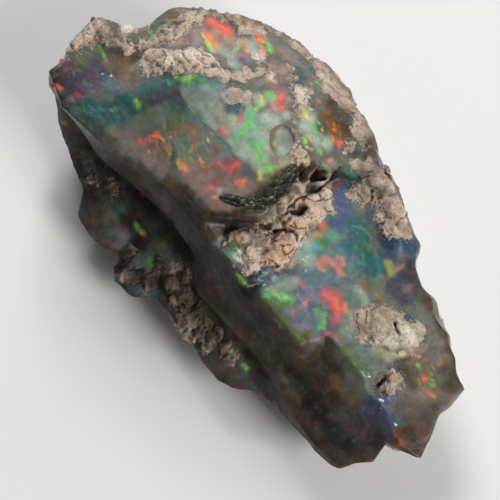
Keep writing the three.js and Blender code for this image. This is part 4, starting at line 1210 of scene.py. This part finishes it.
def keep_flashes():
    """The drawn, sprayed and scattered flashes, and the hairlines and painted glints, as values of the
    vertices.
    """
    generator = np.random.default_rng(SEED)
    strokes = drawn_strokes(FLASHES, STROKE_SPACING)
    strokes += sprays(generator)
    strokes += random_flashes(generator, near_view, HIDDEN_FLASHES)
    depth, colour, size = flash_fields(points, strokes)
    hair_and_glint, hair_and_glint_colour, _ = flash_fields(points, drawn_strokes(HAIRLINES_AND_GLINTS, HAIR_SPACING))
    keep_colour(stone, "flash_tint", colour)
    keep_value(stone, "flash", depth)
    keep_value(stone, "flash_size", size)
    keep_colour(stone, "hair_and_glint_tint", hair_and_glint_colour)
    keep_value(stone, "hair_and_glint", hair_and_glint)


def make_opal():
    field = crust_field(points, facing, near_view)
    sheet = sheet_amount(points, shown)
    crevice = crevice_depth(points)
    pit_depth, pit, pit_floor = pit_fields(points, shown)
    shape_opal(field, sheet, crevice, pit_depth)
    keep_colour(stone, "tint", opal_tint(points, facing, sheet))
    keep_colour(stone, "crust_tint", crust_tint(points))
    keep_flashes()
    fire = np.clip(swells(points, FIRE), 0.0, 1.0)
    fire += (1.0 - shown) * ease(-0.1, 0.3, rough(points, 0.35, 2, seed=71)) * HIDDEN_FIRE
    kept = {
        "sheet": sheet, "pit": pit, "pit_floor": pit_floor, "fire": np.clip(fire, 0.0, 1.0),
        "glow": np.clip(swells(points, GLOWS), 0.0, 1.0), "hidden": 1.0 - shown, "crack": crevice,
        "crust": field,
    }
    for name, values in kept.items():
        keep_value(stone, name, values)
    return new_object("opal_body", stone), field


# ---------- the crust ----------
CRUST_REACH = -0.26
LUMP_SHARE = 0.9
CRUST_BOTTOM = -0.30
CRUST_THICKNESS = 0.37
CHUNK_DRIFT = 0.22
BLOCK_RELIEF = 0.06
BROAD_RELIEF = 0.12
MIDDLE_RELIEF = 0.10
FINE_RELIEF = 0.035
GAP_DEPTH = 0.07
EDGE_RELIEF = 0.35
PLATE_CORNERS = 2.5
PLATE_SLOPE = (1.16, 0.72)
PLATE_EDGE = 1.02
PLATE_RAGGED = 0.30
PLATE_RAGGED_FINE = 0.07
PLATE_CRACK_BREAKS = 0.2
PLATE_CRACK_WIDENING = 0.02
CREVICE_SHADE = 1.5
TOUCHING = 1e-4


def chunks(where, scale, seed):
    """Broken blocks: a level and a tilt for each cell, and how near the gap to the next cell is."""
    shift = Vector((seed * 4.7, seed * -2.9, seed * 8.3))
    level = np.empty(len(where))
    gap = np.empty(len(where))
    for index, corner in enumerate(where.tolist()):
        at = Vector(corner) * scale + shift
        away, centres = noise.voronoi(at)
        tilt = noise.cell_vector(centres[0] * 31.7)
        level[index] = tilt.x * 0.5 + (at - centres[0]).dot(tilt)
        gap[index] = away[1] - away[0]
    return level, gap


def plates(where, visible):
    """Height of the plates, and distance in mm from the nearest plate's edge."""
    at = pixels_of(where)
    ragged = rough(where, 1.1, 3, seed=23) * PLATE_RAGGED
    ragged += rough(where, 4.5, 2, seed=24) * PLATE_RAGGED_FINE
    broken = ease(-0.1, 0.25, rough(where, 1.7, 2, seed=25)) * PLATE_CRACK_BREAKS
    height = np.zeros(len(where))
    edge = np.full(len(where), FAR)
    for x, y, long, wide, heading, lift in PLATES:
        cosine, sine = math.cos(math.radians(heading)), math.sin(math.radians(heading))
        offset = at - (x, y)
        forward = np.abs(offset[:, 0] * cosine + offset[:, 1] * sine) / long
        sideways = np.abs(offset[:, 1] * cosine - offset[:, 0] * sine) / wide
        away = (forward ** PLATE_CORNERS + sideways ** PLATE_CORNERS) ** (1 / PLATE_CORNERS) + ragged
        np.maximum(height, lift * ease(*PLATE_SLOPE, away), out=height)
        np.minimum(edge, np.abs(away - PLATE_EDGE) * wide / PIXELS_PER_MM, out=edge)
    seen_side = ease(0.2, 0.6, visible)
    return height * seen_side, edge + broken + (1.0 - seen_side)


def crust_height(where, field):
    """Height of the crust over the stone's surface, and the height of its broken texture alone."""
    thickness = CRUST_BOTTOM + CRUST_THICKNESS * ease(-0.16, 0.14, field)
    moved = where + rough_vectors(where, 1.6, 2, seed=8) * CHUNK_DRIFT
    coarse, gap = chunks(moved, 1.25, seed=1)
    small, _ = chunks(moved, 3.4, seed=2)
    gap = ease(0.08, 0.0, gap) * ease(0.0, 0.4, rough(where, 0.9, 2, seed=15))
    relief = coarse * BLOCK_RELIEF + rough(where, 0.8, 3, seed=14) * BROAD_RELIEF
    relief += rough(where, 2.4, 3, seed=16) * MIDDLE_RELIEF - gap * GAP_DEPTH
    relief *= np.clip(1.0 + swells(where, RUGGED), 0.4, 2.2)
    relief += (small + rough(where, 7.0, 3, seed=9)) * FINE_RELIEF
    inside = ease(-0.08, 0.2, field)
    return thickness + relief * (EDGE_RELIEF + (1.0 - EDGE_RELIEF) * inside), relief


def crust_cage(field):
    """The stone's faces inside the crust's outline, each cut in four."""
    kept = [face for face in polygons if max(field[list(face)]) > CRUST_REACH]
    used = sorted({index for face in kept for index in face})
    order = {index: number for number, index in enumerate(used)}
    faces = [tuple(order[index] for index in face) for face in kept]
    mesh = bpy.data.meshes.new("crust_cage")
    mesh.from_pydata((points[used] * MM).tolist(), [], faces)
    shape = bmesh.new()
    shape.from_mesh(mesh)
    bmesh.ops.subdivide_edges(shape, edges=shape.edges, cuts=1, use_grid_fill=True)
    shape.to_mesh(mesh)
    shape.free()
    return mesh


def surface_values(where):
    """At each point: the stone's eased normal, and the means of shown and near_view over its face."""
    normal = np.empty((len(where), 3))
    visible = np.empty(len(where))
    near = np.empty(len(where))
    for index, at in enumerate(where.tolist()):
        corners = list(polygons[surface.find_nearest(Vector(at))[2]])
        weight = 1.0 / (squared(points[corners], where[index]) + TOUCHING)
        mean = (eased[corners] * weight[:, None]).sum(0)
        normal[index] = mean / np.linalg.norm(mean)
        visible[index] = shown[corners].mean()
        near[index] = near_view[corners].mean()
    return normal, visible, near


def make_crust(opal_field):
    """The granular crust, with its lumps, plates, crevices and fine cracks."""
    mesh = crust_cage(opal_field)
    where = vectors(mesh.vertices, "co") / MM
    normal, visible, near = surface_values(where)
    field = crust_field(where, normal, near)
    height, relief = crust_height(where, field)
    crevice = crevice_depth(where)
    plate, plate_edge = plates(where, visible)
    lift = height + np.maximum(lump_height(where) * LUMP_SHARE, plate) * ease(-0.05, 0.25, field)
    lift += nudge(where) - crevice
    lift *= ease(0.0, 0.5, where[:, 2])
    raise_surface(mesh, where, normal, lift)
    keep_colour(mesh, "tint", crust_tint(where))
    # relief, lowered in the crevices, sets the painted shade in the crust's colour
    keep_value(mesh, "relief", relief - crevice * CREVICE_SHADE)
    keep_value(mesh, "crack", crevice)
    crack = np.minimum(nearest(where, fine_cracks), plate_edge + PLATE_CRACK_WIDENING)
    keep_value(mesh, "fine_crack", crack)
    return split_crust(mesh, visible)


def split_crust(mesh, visible):
    """Two pieces, the crust that the photograph shows and the rest, each well under the face limit."""
    made = []
    for name, wanted in (("crust_top", True), ("crust_back", False)):
        part = mesh.copy()
        shape = bmesh.new()
        shape.from_mesh(part)
        shape.verts.ensure_lookup_table()
        outside = [
            face for face in shape.faces
            if (np.mean([visible[vertex.index] for vertex in face.verts]) > 0.5) != wanted
        ]
        bmesh.ops.delete(shape, geom=outside, context="FACES")
        shape.to_mesh(part)
        shape.free()
        made.append(new_object(name, part))
    return made


# ---------- the root ----------
ROOT_SIDES = 44
ROOT_STEPS = 150
ROOT_SEED = 2.0
ROOT_TURN = 1.6
ROOT_FLATNESS = 0.75
ROOT_RISE = 0.30
ROOT_BODY = 0.90
FIBRE_RELIEF = 0.30
LUMP_RELIEF = 0.26
GRIT_RELIEF = 0.20
FIBRES_ROUND = 3.4
FIBRES_ALONG = 6
STRAND_STRETCH = 0.6
END_BLUNTNESS = 7


def blended(rows, times):
    """Rows averaged with those next to them, with the first and the last left as they are."""
    made = rows.copy()
    for _ in range(times):
        made[1:-1] = (made[:-2] + made[1:-1] * 2 + made[2:]) / 4
    return made


def nearest_vertex(where):
    corners = list(polygons[surface.find_nearest(Vector(where))[2]])
    return corners[int(np.argmin(squared(points[corners], where)))]


def root_spine(share):
    """The root's centre line, the directions across it and out of the stone, and its half width."""
    centres = np.array([seen(x, y) for x, y, _ in ROOT_LINE])
    out = np.array([facing[nearest_vertex(centre)] for centre in centres])
    knots = np.linspace(0, 1, len(ROOT_LINE))
    path, up = (
        np.stack([np.interp(share, knots, column) for column in blended(rows, 2).T], axis=1)
        for rows in (centres, out)
    )
    path = blended(path, 6)
    up = blended(up * 0.6 - AHEAD * 0.4, 6)
    run = unit(np.gradient(path, axis=0))
    side = unit(np.cross(run, up))
    width = np.interp(share, knots, [radius / PIXELS_PER_MM for *_, radius in ROOT_LINE])
    return path, side, np.cross(side, run), width


def fibre_noise(at):
    return noise.fractal(at, 1.0, 2.0, 3)


def root_ring(share, path, side, up, width):
    """One ring of the root: its corners, how high each stands, and where it is on the fibres."""
    taper = math.sqrt(max(0.0, 1 - abs(2 * share - 1) ** END_BLUNTNESS))
    for corner in range(ROOT_SIDES):
        angle = math.tau * corner / ROOT_SIDES
        cosine, sine = math.cos(angle + share * ROOT_TURN), math.sin(angle + share * ROOT_TURN)
        way = side * math.cos(angle) + up * math.sin(angle) * ROOT_FLATNESS
        skin = Vector(path + way * width)
        turn = (cosine * FIBRES_ROUND, sine * FIBRES_ROUND, share * FIBRES_ALONG + ROOT_SEED)
        fibre = fibre_noise(Vector(turn))
        lump = fibre_noise(skin * 1.5 + Vector((ROOT_SEED, 0.0, 0.0)))
        grit = fibre_noise(skin * 5.5)
        relief = fibre * FIBRE_RELIEF + lump * LUMP_RELIEF + grit * GRIT_RELIEF
        at = path + way * width * taper * (ROOT_BODY + relief) + up * width * ROOT_RISE
        strand = (share * len(ROOT_LINE) * STRAND_STRETCH, cosine * width + ROOT_SEED, sine * width)
        yield tuple(at * MM), fibre * 0.6 + grit * 0.8 + lump * 0.3, strand


def tube_faces():
    """Quads between the root's rings, and a face over each end."""
    faces = []
    for low in range(0, (ROOT_STEPS - 1) * ROOT_SIDES, ROOT_SIDES):
        for corner in range(ROOT_SIDES):
            after = (corner + 1) % ROOT_SIDES
            faces.append((low + corner, low + after, low + ROOT_SIDES + after, low + ROOT_SIDES + corner))
    faces.append(tuple(reversed(range(ROOT_SIDES))))
    last = (ROOT_STEPS - 1) * ROOT_SIDES
    faces.append(tuple(range(last, last + ROOT_SIDES)))
    return faces


def make_root():
    """A bundle of fibres laid along the root's line, closed at both ends."""
    shares = np.linspace(0, 1, ROOT_STEPS)
    rings = zip(shares, *root_spine(shares))
    vertices, heights, strands = zip(*(corner for ring in rings for corner in root_ring(*ring)))
    mesh = bpy.data.meshes.new("root_strand")
    mesh.from_pydata(vertices, [], tube_faces())
    keep_value(mesh, "height", np.array(heights))
    keep_colour(mesh, "strand", np.array(strands))
    smooth_shading(mesh)
    return new_object("root_strand", mesh)


opal, crust_outline = make_opal()
crusts = make_crust(crust_outline)
root = make_root()


# ---------- materials ----------
class Paint:
    """A material, with short names for the nodes that it is built from."""

    def __init__(self, name):
        self.material = bpy.data.materials.new(name)
        self.material.use_nodes = True
        self.tree = self.material.node_tree
        self.tree.nodes.clear()

    def put(self, kind, inputs=None, **settings):
        """A node, with its settings, and inputs that are values or other nodes' sockets."""
        node = self.tree.nodes.new("ShaderNode" + kind)
        for key, value in settings.items():
            setattr(node, key, value)
        for key, value in (inputs or {}).items():
            if isinstance(value, bpy.types.NodeSocket):
                self.tree.links.new(value, node.inputs[key])
            else:
                node.inputs[key].default_value = value
        return node

    def calc(self, operation, first, second=0.0, third=0.0):
        return self.put("Math", {0: first, 1: second, 2: third}, operation=operation).outputs[0]

    def times(self, first, second):
        return self.calc("MULTIPLY", first, second)

    def plus(self, value, factor, base):
        """value x factor + base."""
        return self.calc("MULTIPLY_ADD", value, factor, base)

    def centred(self, texture, middle=0.5):
        return self.calc("SUBTRACT", texture, middle)

    def swayed(self, texture, amount, base):
        """base, pushed up and down by a texture."""
        return self.plus(self.centred(texture), amount, base)

    def span(self, value, low, high, to_low=0.0, to_high=1.0):
        """value eased from the range low to high into the range to_low to to_high."""
        inputs = {"Value": value, "From Min": low, "From Max": high, "To Min": to_low, "To Max": to_high}
        return self.put("MapRange", inputs, interpolation_type="SMOOTHSTEP").outputs[0]

    def mixed(self, factor, first, second):
        """Two colours blended: either may be a colour's name, and then it is constant."""
        inputs = {0: factor}
        for key, value in ((6, first), (7, second)):
            inputs[key] = (*linear(value), 1.0) if isinstance(value, str) else value
        return self.put("Mix", inputs, data_type="RGBA").outputs[2]

    def ramp(self, factor, stops):
        node = self.put("ValToRGB", {0: factor})
        elements = node.color_ramp.elements
        while len(elements) < len(stops):
            elements.new(0.5)
        for element, (position, name) in zip(elements, stops):
            element.position = position
            element.color = (*linear(name), 1.0)
        return node.outputs[0]

    def value(self, name):
        return self.put("Attribute", attribute_name=name).outputs["Fac"]

    def colour(self, name):
        return self.put("Attribute", attribute_name=name).outputs["Color"]

    def channel(self, colour, index):
        return self.put("SeparateColor", {0: colour}).outputs[index]

    def vector(self, operation, first, second):
        return self.put("VectorMath", {0: first, 1: second}, operation=operation).outputs[0]

    def scaled(self, first, amount):
        """A colour or a position, made larger or smaller."""
        return self.put("VectorMath", {0: first, "Scale": amount}, operation="SCALE").outputs[0]

    def grain(self, where, scale, detail, roughness=0.55, distortion=0.0, output=0):
        inputs = {
            "Vector": where, "Scale": scale, "Detail": detail, "Roughness": roughness,
            "Distortion": distortion,
        }
        return self.put("TexNoise", inputs).outputs[output]

    def cells(self, where, scale, **settings):
        return self.put("TexVoronoi", {"Vector": where, "Scale": scale}, **settings).outputs

    def millimetres(self):
        return self.scaled(self.put("TexCoord").outputs["Object"], 1 / MM)

    def warped(self, where, scale, amount):
        """Positions pushed about by noise."""
        push = self.vector("SUBTRACT", self.grain(where, scale, 2.0, output="Color"), (0.5, 0.5, 0.5))
        return self.vector("ADD", where, self.scaled(push, amount))

    def bump(self, height, strength, distance):
        inputs = {"Height": height, "Strength": strength, "Distance": distance * MM}
        return self.put("Bump", inputs).outputs[0]

    def finish(self, inputs):
        """The material, with a shader of these inputs."""
        shader = self.put("BsdfPrincipled", inputs)
        self.put("OutputMaterial", {0: shader.outputs[0]})
        return self.material


# Noise textures: scale per mm, detail and roughness.
CLOUD = (0.55, 4.0)
CLOUD_FINE = (1.7, 4.0)
MOTTLE = (2.6, 6.0, 0.6)
STREAK = (4.6, 5.0, 0.65)
SHIMMER = (7.0, 4.0, 0.62)
LOBE = (2.6, 2.0)
BREAK = (3.0, 4.0)
SPECK = (6.5, 4.0, 0.6)
BROAD = (1.9, 3.0)
SWELLING = (0.8, 3.0)
RIPPLING = (3.0, 4.0)
SCRATCH = (14.0, 2.0)
CRUST_BROAD = (1.4, 5.0, 0.6)
STAIN = (1.0, 4.0)
CRUST_GRAIN = (9.0, 5.0, 0.65)
FIBRE = (1.0, 5.0, 0.62, 0.7)
FLECK = (9.0, 4.0, 0.6)

# How far positions are pushed about: scale per mm of the push, and its size in mm.
BENT = (0.9, 1.2)
FLAKE_PUSH = (1.6, 0.55)
SCRATCH_PUSH = (2.0, 0.4)
STAIN_PUSH = (1.0, 1.0)
SPLIT_PUSH = (2.2, 0.5)
CHIP_PUSH = (0.8, 1.6)

# Clouds of fainter colour inside the stone: cells per mm, the cells' channel, the noise, and then its
# low and high and the clouds' strength there.
CLOUDS = ((1.15, 0, CLOUD, 0.42, 0.66, 0.06, 0.4), (3.6, 1, CLOUD_FINE, 0.48, 0.64, 0.0, 0.3))
CLOUDS_IN_VIEW = 0.28
SHEET_MILK = 0.12

# Flashes: the first and the second number of a pair are per mm of half width, and in mm.
STREAK_RAGGED = (0.9, 0.10)
LOBE_RAGGED = (2.2, 0.04)
HALO_REACH = (1.1, 0.05)
HALO = (-1.0, 0.4, 0.0, 0.46)
CORE = (-0.4, 1.0)
CORE_SHIMMER = (0.34, 0.60, 0.4, 0.92)
CORE_BY_SIZE = (0.02, 0.14, 0.45, 1.0)
CORE_SOFTNESS = 0.95
CORE_SOFTEST = 0.24
BRIGHT_MIDDLE = (0.3, 1.4, 0.92, 1.16)
FIRE_STEADIES = -0.6
GLOW_STEADIES = -0.45
GLOW_SOFTENS = 0.10
FLAKE_RAGGED = 0.34
FLAKE_ROUNDED = (-0.22, 0.35)
FLAKE_GLEAM = 0.9


def clouded_body(paint, where, bent):
    """The body colour with clouds of other colours in it, the milky sheet, and mottling."""
    body = paint.colour("tint")
    strength = paint.span(paint.value("hidden"), 0.0, 1.0, CLOUDS_IN_VIEW, 1.0)
    for scale, channel, cloud, *reach in CLOUDS:
        patch = paint.channel(paint.cells(bent, scale)["Color"], channel)
        play = paint.times(paint.span(paint.grain(where, *cloud), *reach), strength)
        body = paint.mixed(play, body, paint.ramp(patch, PATCH_STOPS))
    body = paint.mixed(paint.times(paint.value("sheet"), SHEET_MILK), body, "milk")
    return paint.scaled(body, paint.span(paint.grain(bent, *MOTTLE), 0.3, 0.7, 0.84, 1.16))


def flakes(paint, where):
    """Cells long in one direction and narrow across it: their ragged edges, and their brightness."""
    pushed = paint.warped(where, *FLAKE_PUSH)
    parts = {}
    for key, way in FLAKE_AXES.items():
        dotted = paint.put("VectorMath", {0: pushed, 1: tuple(way)}, operation="DOT_PRODUCT")
        parts[key] = dotted.outputs["Value"]
    cell = paint.cells(paint.put("CombineXYZ", parts).outputs[0], 1.0)
    chip = paint.times(paint.centred(paint.channel(cell["Color"], 0)), FLAKE_RAGGED)
    rounded, middle = FLAKE_ROUNDED
    chip = paint.plus(paint.centred(cell["Distance"], middle), rounded, chip)
    return chip, paint.centred(paint.channel(cell["Color"], 1))


def with_flashes(paint, body, where, drawn, streak):
    """A soft glow round each flash, a ragged core, and brush-like streaks inside it."""
    size = paint.value("flash_size")
    fire = paint.value("fire")
    glow = paint.value("glow")
    chip, gleam = flakes(paint, where)
    jagged = paint.times(paint.centred(streak), paint.plus(size, *STREAK_RAGGED))
    lobes = paint.times(paint.centred(paint.grain(where, *LOBE)), paint.plus(size, *LOBE_RAGGED))
    loose = paint.calc("ADD", jagged, lobes)
    loose = paint.times(loose, paint.plus(fire, FIRE_STEADIES, 1.0))
    loose = paint.times(loose, paint.plus(glow, GLOW_STEADIES, 1.0))
    ragged = paint.calc("ADD", paint.value("flash"), paint.plus(chip, fire, loose))
    halo = paint.span(paint.calc("DIVIDE", ragged, paint.plus(size, *HALO_REACH)), *HALO)
    soft = paint.calc("MINIMUM", paint.times(size, CORE_SOFTNESS), CORE_SOFTEST)
    depth = paint.calc("DIVIDE", ragged, paint.plus(glow, GLOW_SOFTENS, soft))
    shimmer = paint.span(paint.grain(drawn, *SHIMMER), *CORE_SHIMMER)
    core = paint.times(paint.span(depth, *CORE), shimmer)
    core = paint.times(core, paint.span(size, *CORE_BY_SIZE))
    gleam = paint.plus(paint.times(gleam, fire), FLAKE_GLEAM, paint.span(depth, *BRIGHT_MIDDLE))
    tone = paint.scaled(paint.colour("flash_tint"), gleam)
    return paint.mixed(core, paint.mixed(halo, body, tone), tone)


def with_hairlines_and_glints(paint, body, where, streak):
    # Hairlines, and the painted glints among them, laid over the body colour.
    hair_and_glint = paint.swayed(streak, 0.10, paint.value("hair_and_glint"))
    broken = paint.span(paint.grain(where, *BREAK), 0.44, 0.58, 0.05, 0.7)
    mask = paint.times(paint.span(hair_and_glint, -0.03, 0.02), broken)
    return paint.mixed(mask, body, paint.colour("hair_and_glint_tint"))


def with_crust_skin(paint, body, speck, broad):
    """A thin skin and specks of crust round the crust's edge, and how much of it there is."""
    edge = paint.swayed(broad, 0.6, paint.swayed(speck, 0.7, paint.value("crust")))
    dust = paint.times(paint.span(speck, 0.56, 0.68), paint.span(edge, -0.75, -0.1, 0.0, 0.4))
    skin = paint.calc("MAXIMUM", paint.span(edge, -0.16, 0.04, 0.0, 0.95), dust)
    colour = paint.scaled(paint.colour("crust_tint"), paint.span(speck, 0.3, 0.7, 0.78, 1.12))
    return paint.mixed(skin, body, colour), skin


def with_pit(paint, body, speck, broad):
    """The round pit: an olive wall on one side, partly painted shade, a pale floor on the other, partly
    painted light, and a dark lip of painted shade.
    """
    pit = paint.value("pit")
    across = paint.swayed(broad, 0.5, paint.value("pit_floor"))
    inner = paint.mixed(paint.span(across, -0.22, 0.22), "brass", "milk")
    inner = paint.mixed(paint.span(speck, 0.52, 0.66, 0.0, 0.5), inner, "fawn")
    inner = paint.mixed(paint.span(pit, 0.10, 0.02, 0.0, 0.75), inner, "smoke")
    return paint.mixed(paint.span(pit, 0.0, 0.04, 0.0, 0.95), body, inner)


def with_crevice_shade(paint, body):
    """Painted shade in the crevices, darker where they are deeper."""
    crack = paint.value("crack")
    body = paint.mixed(paint.span(crack, 0.0, 0.22, 0.0, 0.85), body, "umber")
    return paint.mixed(paint.span(crack, 0.2, 0.5, 0.0, 0.7), body, "black_brown")


def opal_material():
    paint = Paint("precious_opal")
    where = paint.millimetres()
    bent = paint.warped(where, *BENT)
    drawn = paint.vector("MULTIPLY", bent, (0.45, 1.3, 1.3))
    streak = paint.grain(drawn, *STREAK)
    speck = paint.grain(where, *SPECK)
    broad = paint.grain(where, *BROAD)

    body = clouded_body(paint, where, bent)
    body = with_flashes(paint, body, where, drawn, streak)
    body = with_hairlines_and_glints(paint, body, where, streak)
    body, skin = with_crust_skin(paint, body, speck, broad)
    body = with_crevice_shade(paint, with_pit(paint, body, speck, broad))

    ripple = paint.grain(bent, *RIPPLING)
    scratch = paint.grain(paint.warped(where, *SCRATCH_PUSH), *SCRATCH)
    relief = paint.plus(ripple, 0.16, paint.grain(where, *SWELLING))
    relief = paint.plus(scratch, 0.03, relief)
    relief = paint.plus(paint.times(skin, speck), 0.9, relief)
    return paint.finish({
        "Base Color": body, "Normal": paint.bump(relief, 0.6, 0.14),
        "Roughness": paint.plus(skin, 0.5, paint.span(ripple, 0.35, 0.65, 0.30, 0.50)),
        "IOR": 1.42, "Specular IOR Level": 0.24,
        "Subsurface Weight": 0.4, "Subsurface Scale": 0.5 * MM, "Subsurface Radius": (1.0, 0.8, 0.65),
        "Coat Weight": 0.05, "Coat Roughness": 0.12, "Coat IOR": 1.45,
    })


def grainy_crust(paint, broad, stain, fine):
    """The crust's tint with paler and browner grains, and painted shade where it is low. Dark crust has
    fewer grains, so it stays dark.
    """
    body = paint.colour("tint")
    pale = paint.span(paint.channel(body, 1), 0.02, 0.16, 0.12, 1.0)
    body = paint.mixed(paint.times(paint.span(broad, 0.42, 0.66, 0.0, 0.4), pale), body, "cream")
    body = paint.mixed(paint.times(paint.span(stain, 0.54, 0.68, 0.0, 0.5), pale), body, "fawn")
    body = paint.scaled(body, paint.span(fine, 0.25, 0.75, 0.72, 1.22))
    # painted shade: chestnut where the relief is low and in the crevices
    low = paint.span(paint.swayed(fine, 0.12, paint.value("relief")), -0.06, -0.30, 0.0, 0.75)
    return paint.mixed(low, body, "chestnut")


def crust_material():
    paint = Paint("matrix_crust")
    where = paint.millimetres()
    broad = paint.grain(where, *CRUST_BROAD)
    stain = paint.grain(paint.warped(where, *STAIN_PUSH), *STAIN)
    fine = paint.grain(where, *CRUST_GRAIN)
    body = with_crevice_shade(paint, grainy_crust(paint, broad, stain, fine))

    # fine cracks, splits between broken cells, and small holes
    line = paint.swayed(fine, 0.14, paint.value("fine_crack"))
    pushed = paint.warped(where, *SPLIT_PUSH)
    edges = paint.cells(pushed, 1.5, feature="DISTANCE_TO_EDGE")["Distance"]
    split = paint.times(paint.span(edges, 0.03, 0.006), paint.span(stain, 0.54, 0.62))
    hole = paint.cells(where, 7.5)["Distance"]
    dot = paint.times(paint.span(hole, 0.22, 0.08), paint.span(broad, 0.5, 0.62))
    for mask in (paint.span(line, 0.085, 0.03, 0.0, 0.8), paint.times(split, 0.6), paint.times(dot, 0.7)):
        body = paint.mixed(mask, body, "umber")

    height = paint.plus(split, -0.5, paint.plus(fine, 0.9, paint.times(hole, 0.5)))
    return paint.finish({
        "Base Color": body, "Normal": paint.bump(height, 0.75, 0.12),
        "Roughness": paint.span(fine, 0.3, 0.7, 0.78, 0.95), "Specular IOR Level": 0.3,
        "Subsurface Weight": 0.12, "Subsurface Scale": 0.3 * MM, "Subsurface Radius": (1.0, 0.7, 0.5),
    })


def root_material():
    """Dark fibres with pale chips on the high ones: partly the root's own flecks, partly painted
    highlight, and painted shade on the low fibres.
    """
    paint = Paint("fibrous_root")
    drawn = paint.vector("MULTIPLY", paint.colour("strand"), (2.2, 7.0, 7.0))
    fibre = paint.grain(drawn, *FIBRE)
    fleck = paint.grain(paint.millimetres(), *FLECK)
    chip = paint.cells(paint.warped(drawn, *CHIP_PUSH), 1.1)["Distance"]
    high = paint.plus(paint.value("height"), 0.16, fibre)
    pale = paint.times(paint.span(chip, 0.40, 0.16), paint.span(fleck, 0.46, 0.56))
    pale = paint.times(pale, paint.span(high, 0.42, 0.58, 0.1, 0.9))
    return paint.finish({
        "Base Color": paint.mixed(pale, paint.ramp(high, ROOT_STOPS), "lichen"),
        "Normal": paint.bump(paint.plus(fleck, 0.5, fibre), 0.9, 0.16),
        "Roughness": paint.span(fleck, 0.35, 0.65, 0.30, 0.6), "Specular IOR Level": 0.3,
    })


opal.data.materials.append(opal_material())
crust_finish = crust_material()
for crust in crusts:
    crust.data.materials.append(crust_finish)
root.data.materials.append(root_material())

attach(opal, BODY)
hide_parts(NODE)
for piece in [*crusts, root]:
    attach(piece, BODY)

# ---------- studio ----------
FLOOR_HALF_SIZE = 1500.0
FLOOR_COLOUR = (0.74, 0.74, 0.73, 1)
# Lamps: name, place in mm, power in watts, size in mm and colour.
LAMPS = (
    ("key", (291, 51, 178), 1.15, 150, (1.0, 0.985, 0.96)),
    ("back", (-238, 162, 200), 1.10, 170, (0.98, 0.985, 1.0)),
)
LAMPS_AIM = Vector((0.0, 0.0, 5.0))
ROOM_COLOUR = (0.90, 0.92, 0.95, 1)
ROOM_STRENGTH = 0.16


def aimed(name, data, place, direction):
    """A lamp or a camera at a place in mm, looking in a direction."""
    made = new_object(name, data)
    made.location = Vector(place) * MM
    made.rotation_euler = direction.to_track_quat("-Z", "Y").to_euler()
    return made


def plain_floor():
    size = FLOOR_HALF_SIZE * MM
    mesh = bpy.data.meshes.new("floor")
    corners = [(-size, -size, 0), (size, -size, 0), (size, size, 0), (-size, size, 0)]
    mesh.from_pydata(corners, [], [(0, 1, 2, 3)])
    paint = Paint("pale_floor")
    mesh.materials.append(paint.finish({"Base Color": FLOOR_COLOUR, "Roughness": 0.7}))
    new_object("floor", mesh)


def studio():
    plain_floor()
    for name, place, power, size, colour in LAMPS:
        light = bpy.data.lights.new(name, "AREA")
        light.energy = power
        light.size = size * MM
        light.color = colour
        aimed(name, light, place, LAMPS_AIM - Vector(place))
    world = bpy.data.worlds.new("soft_room")
    world.use_nodes = True
    background = world.node_tree.nodes["Background"]
    background.inputs[0].default_value = ROOM_COLOUR
    background.inputs[1].default_value = ROOM_STRENGTH
    bpy.context.scene.world = world


def camera():
    data = bpy.data.cameras.new("camera")
    data.lens = LENS
    data.sensor_width = SENSOR
    data.clip_start = 0.01
    data.clip_end = 10
    bpy.context.scene.camera = aimed("camera", data, EYE, Vector(AHEAD))


studio()
camera()
bpy.context.scene.view_settings.view_transform = "Standard"
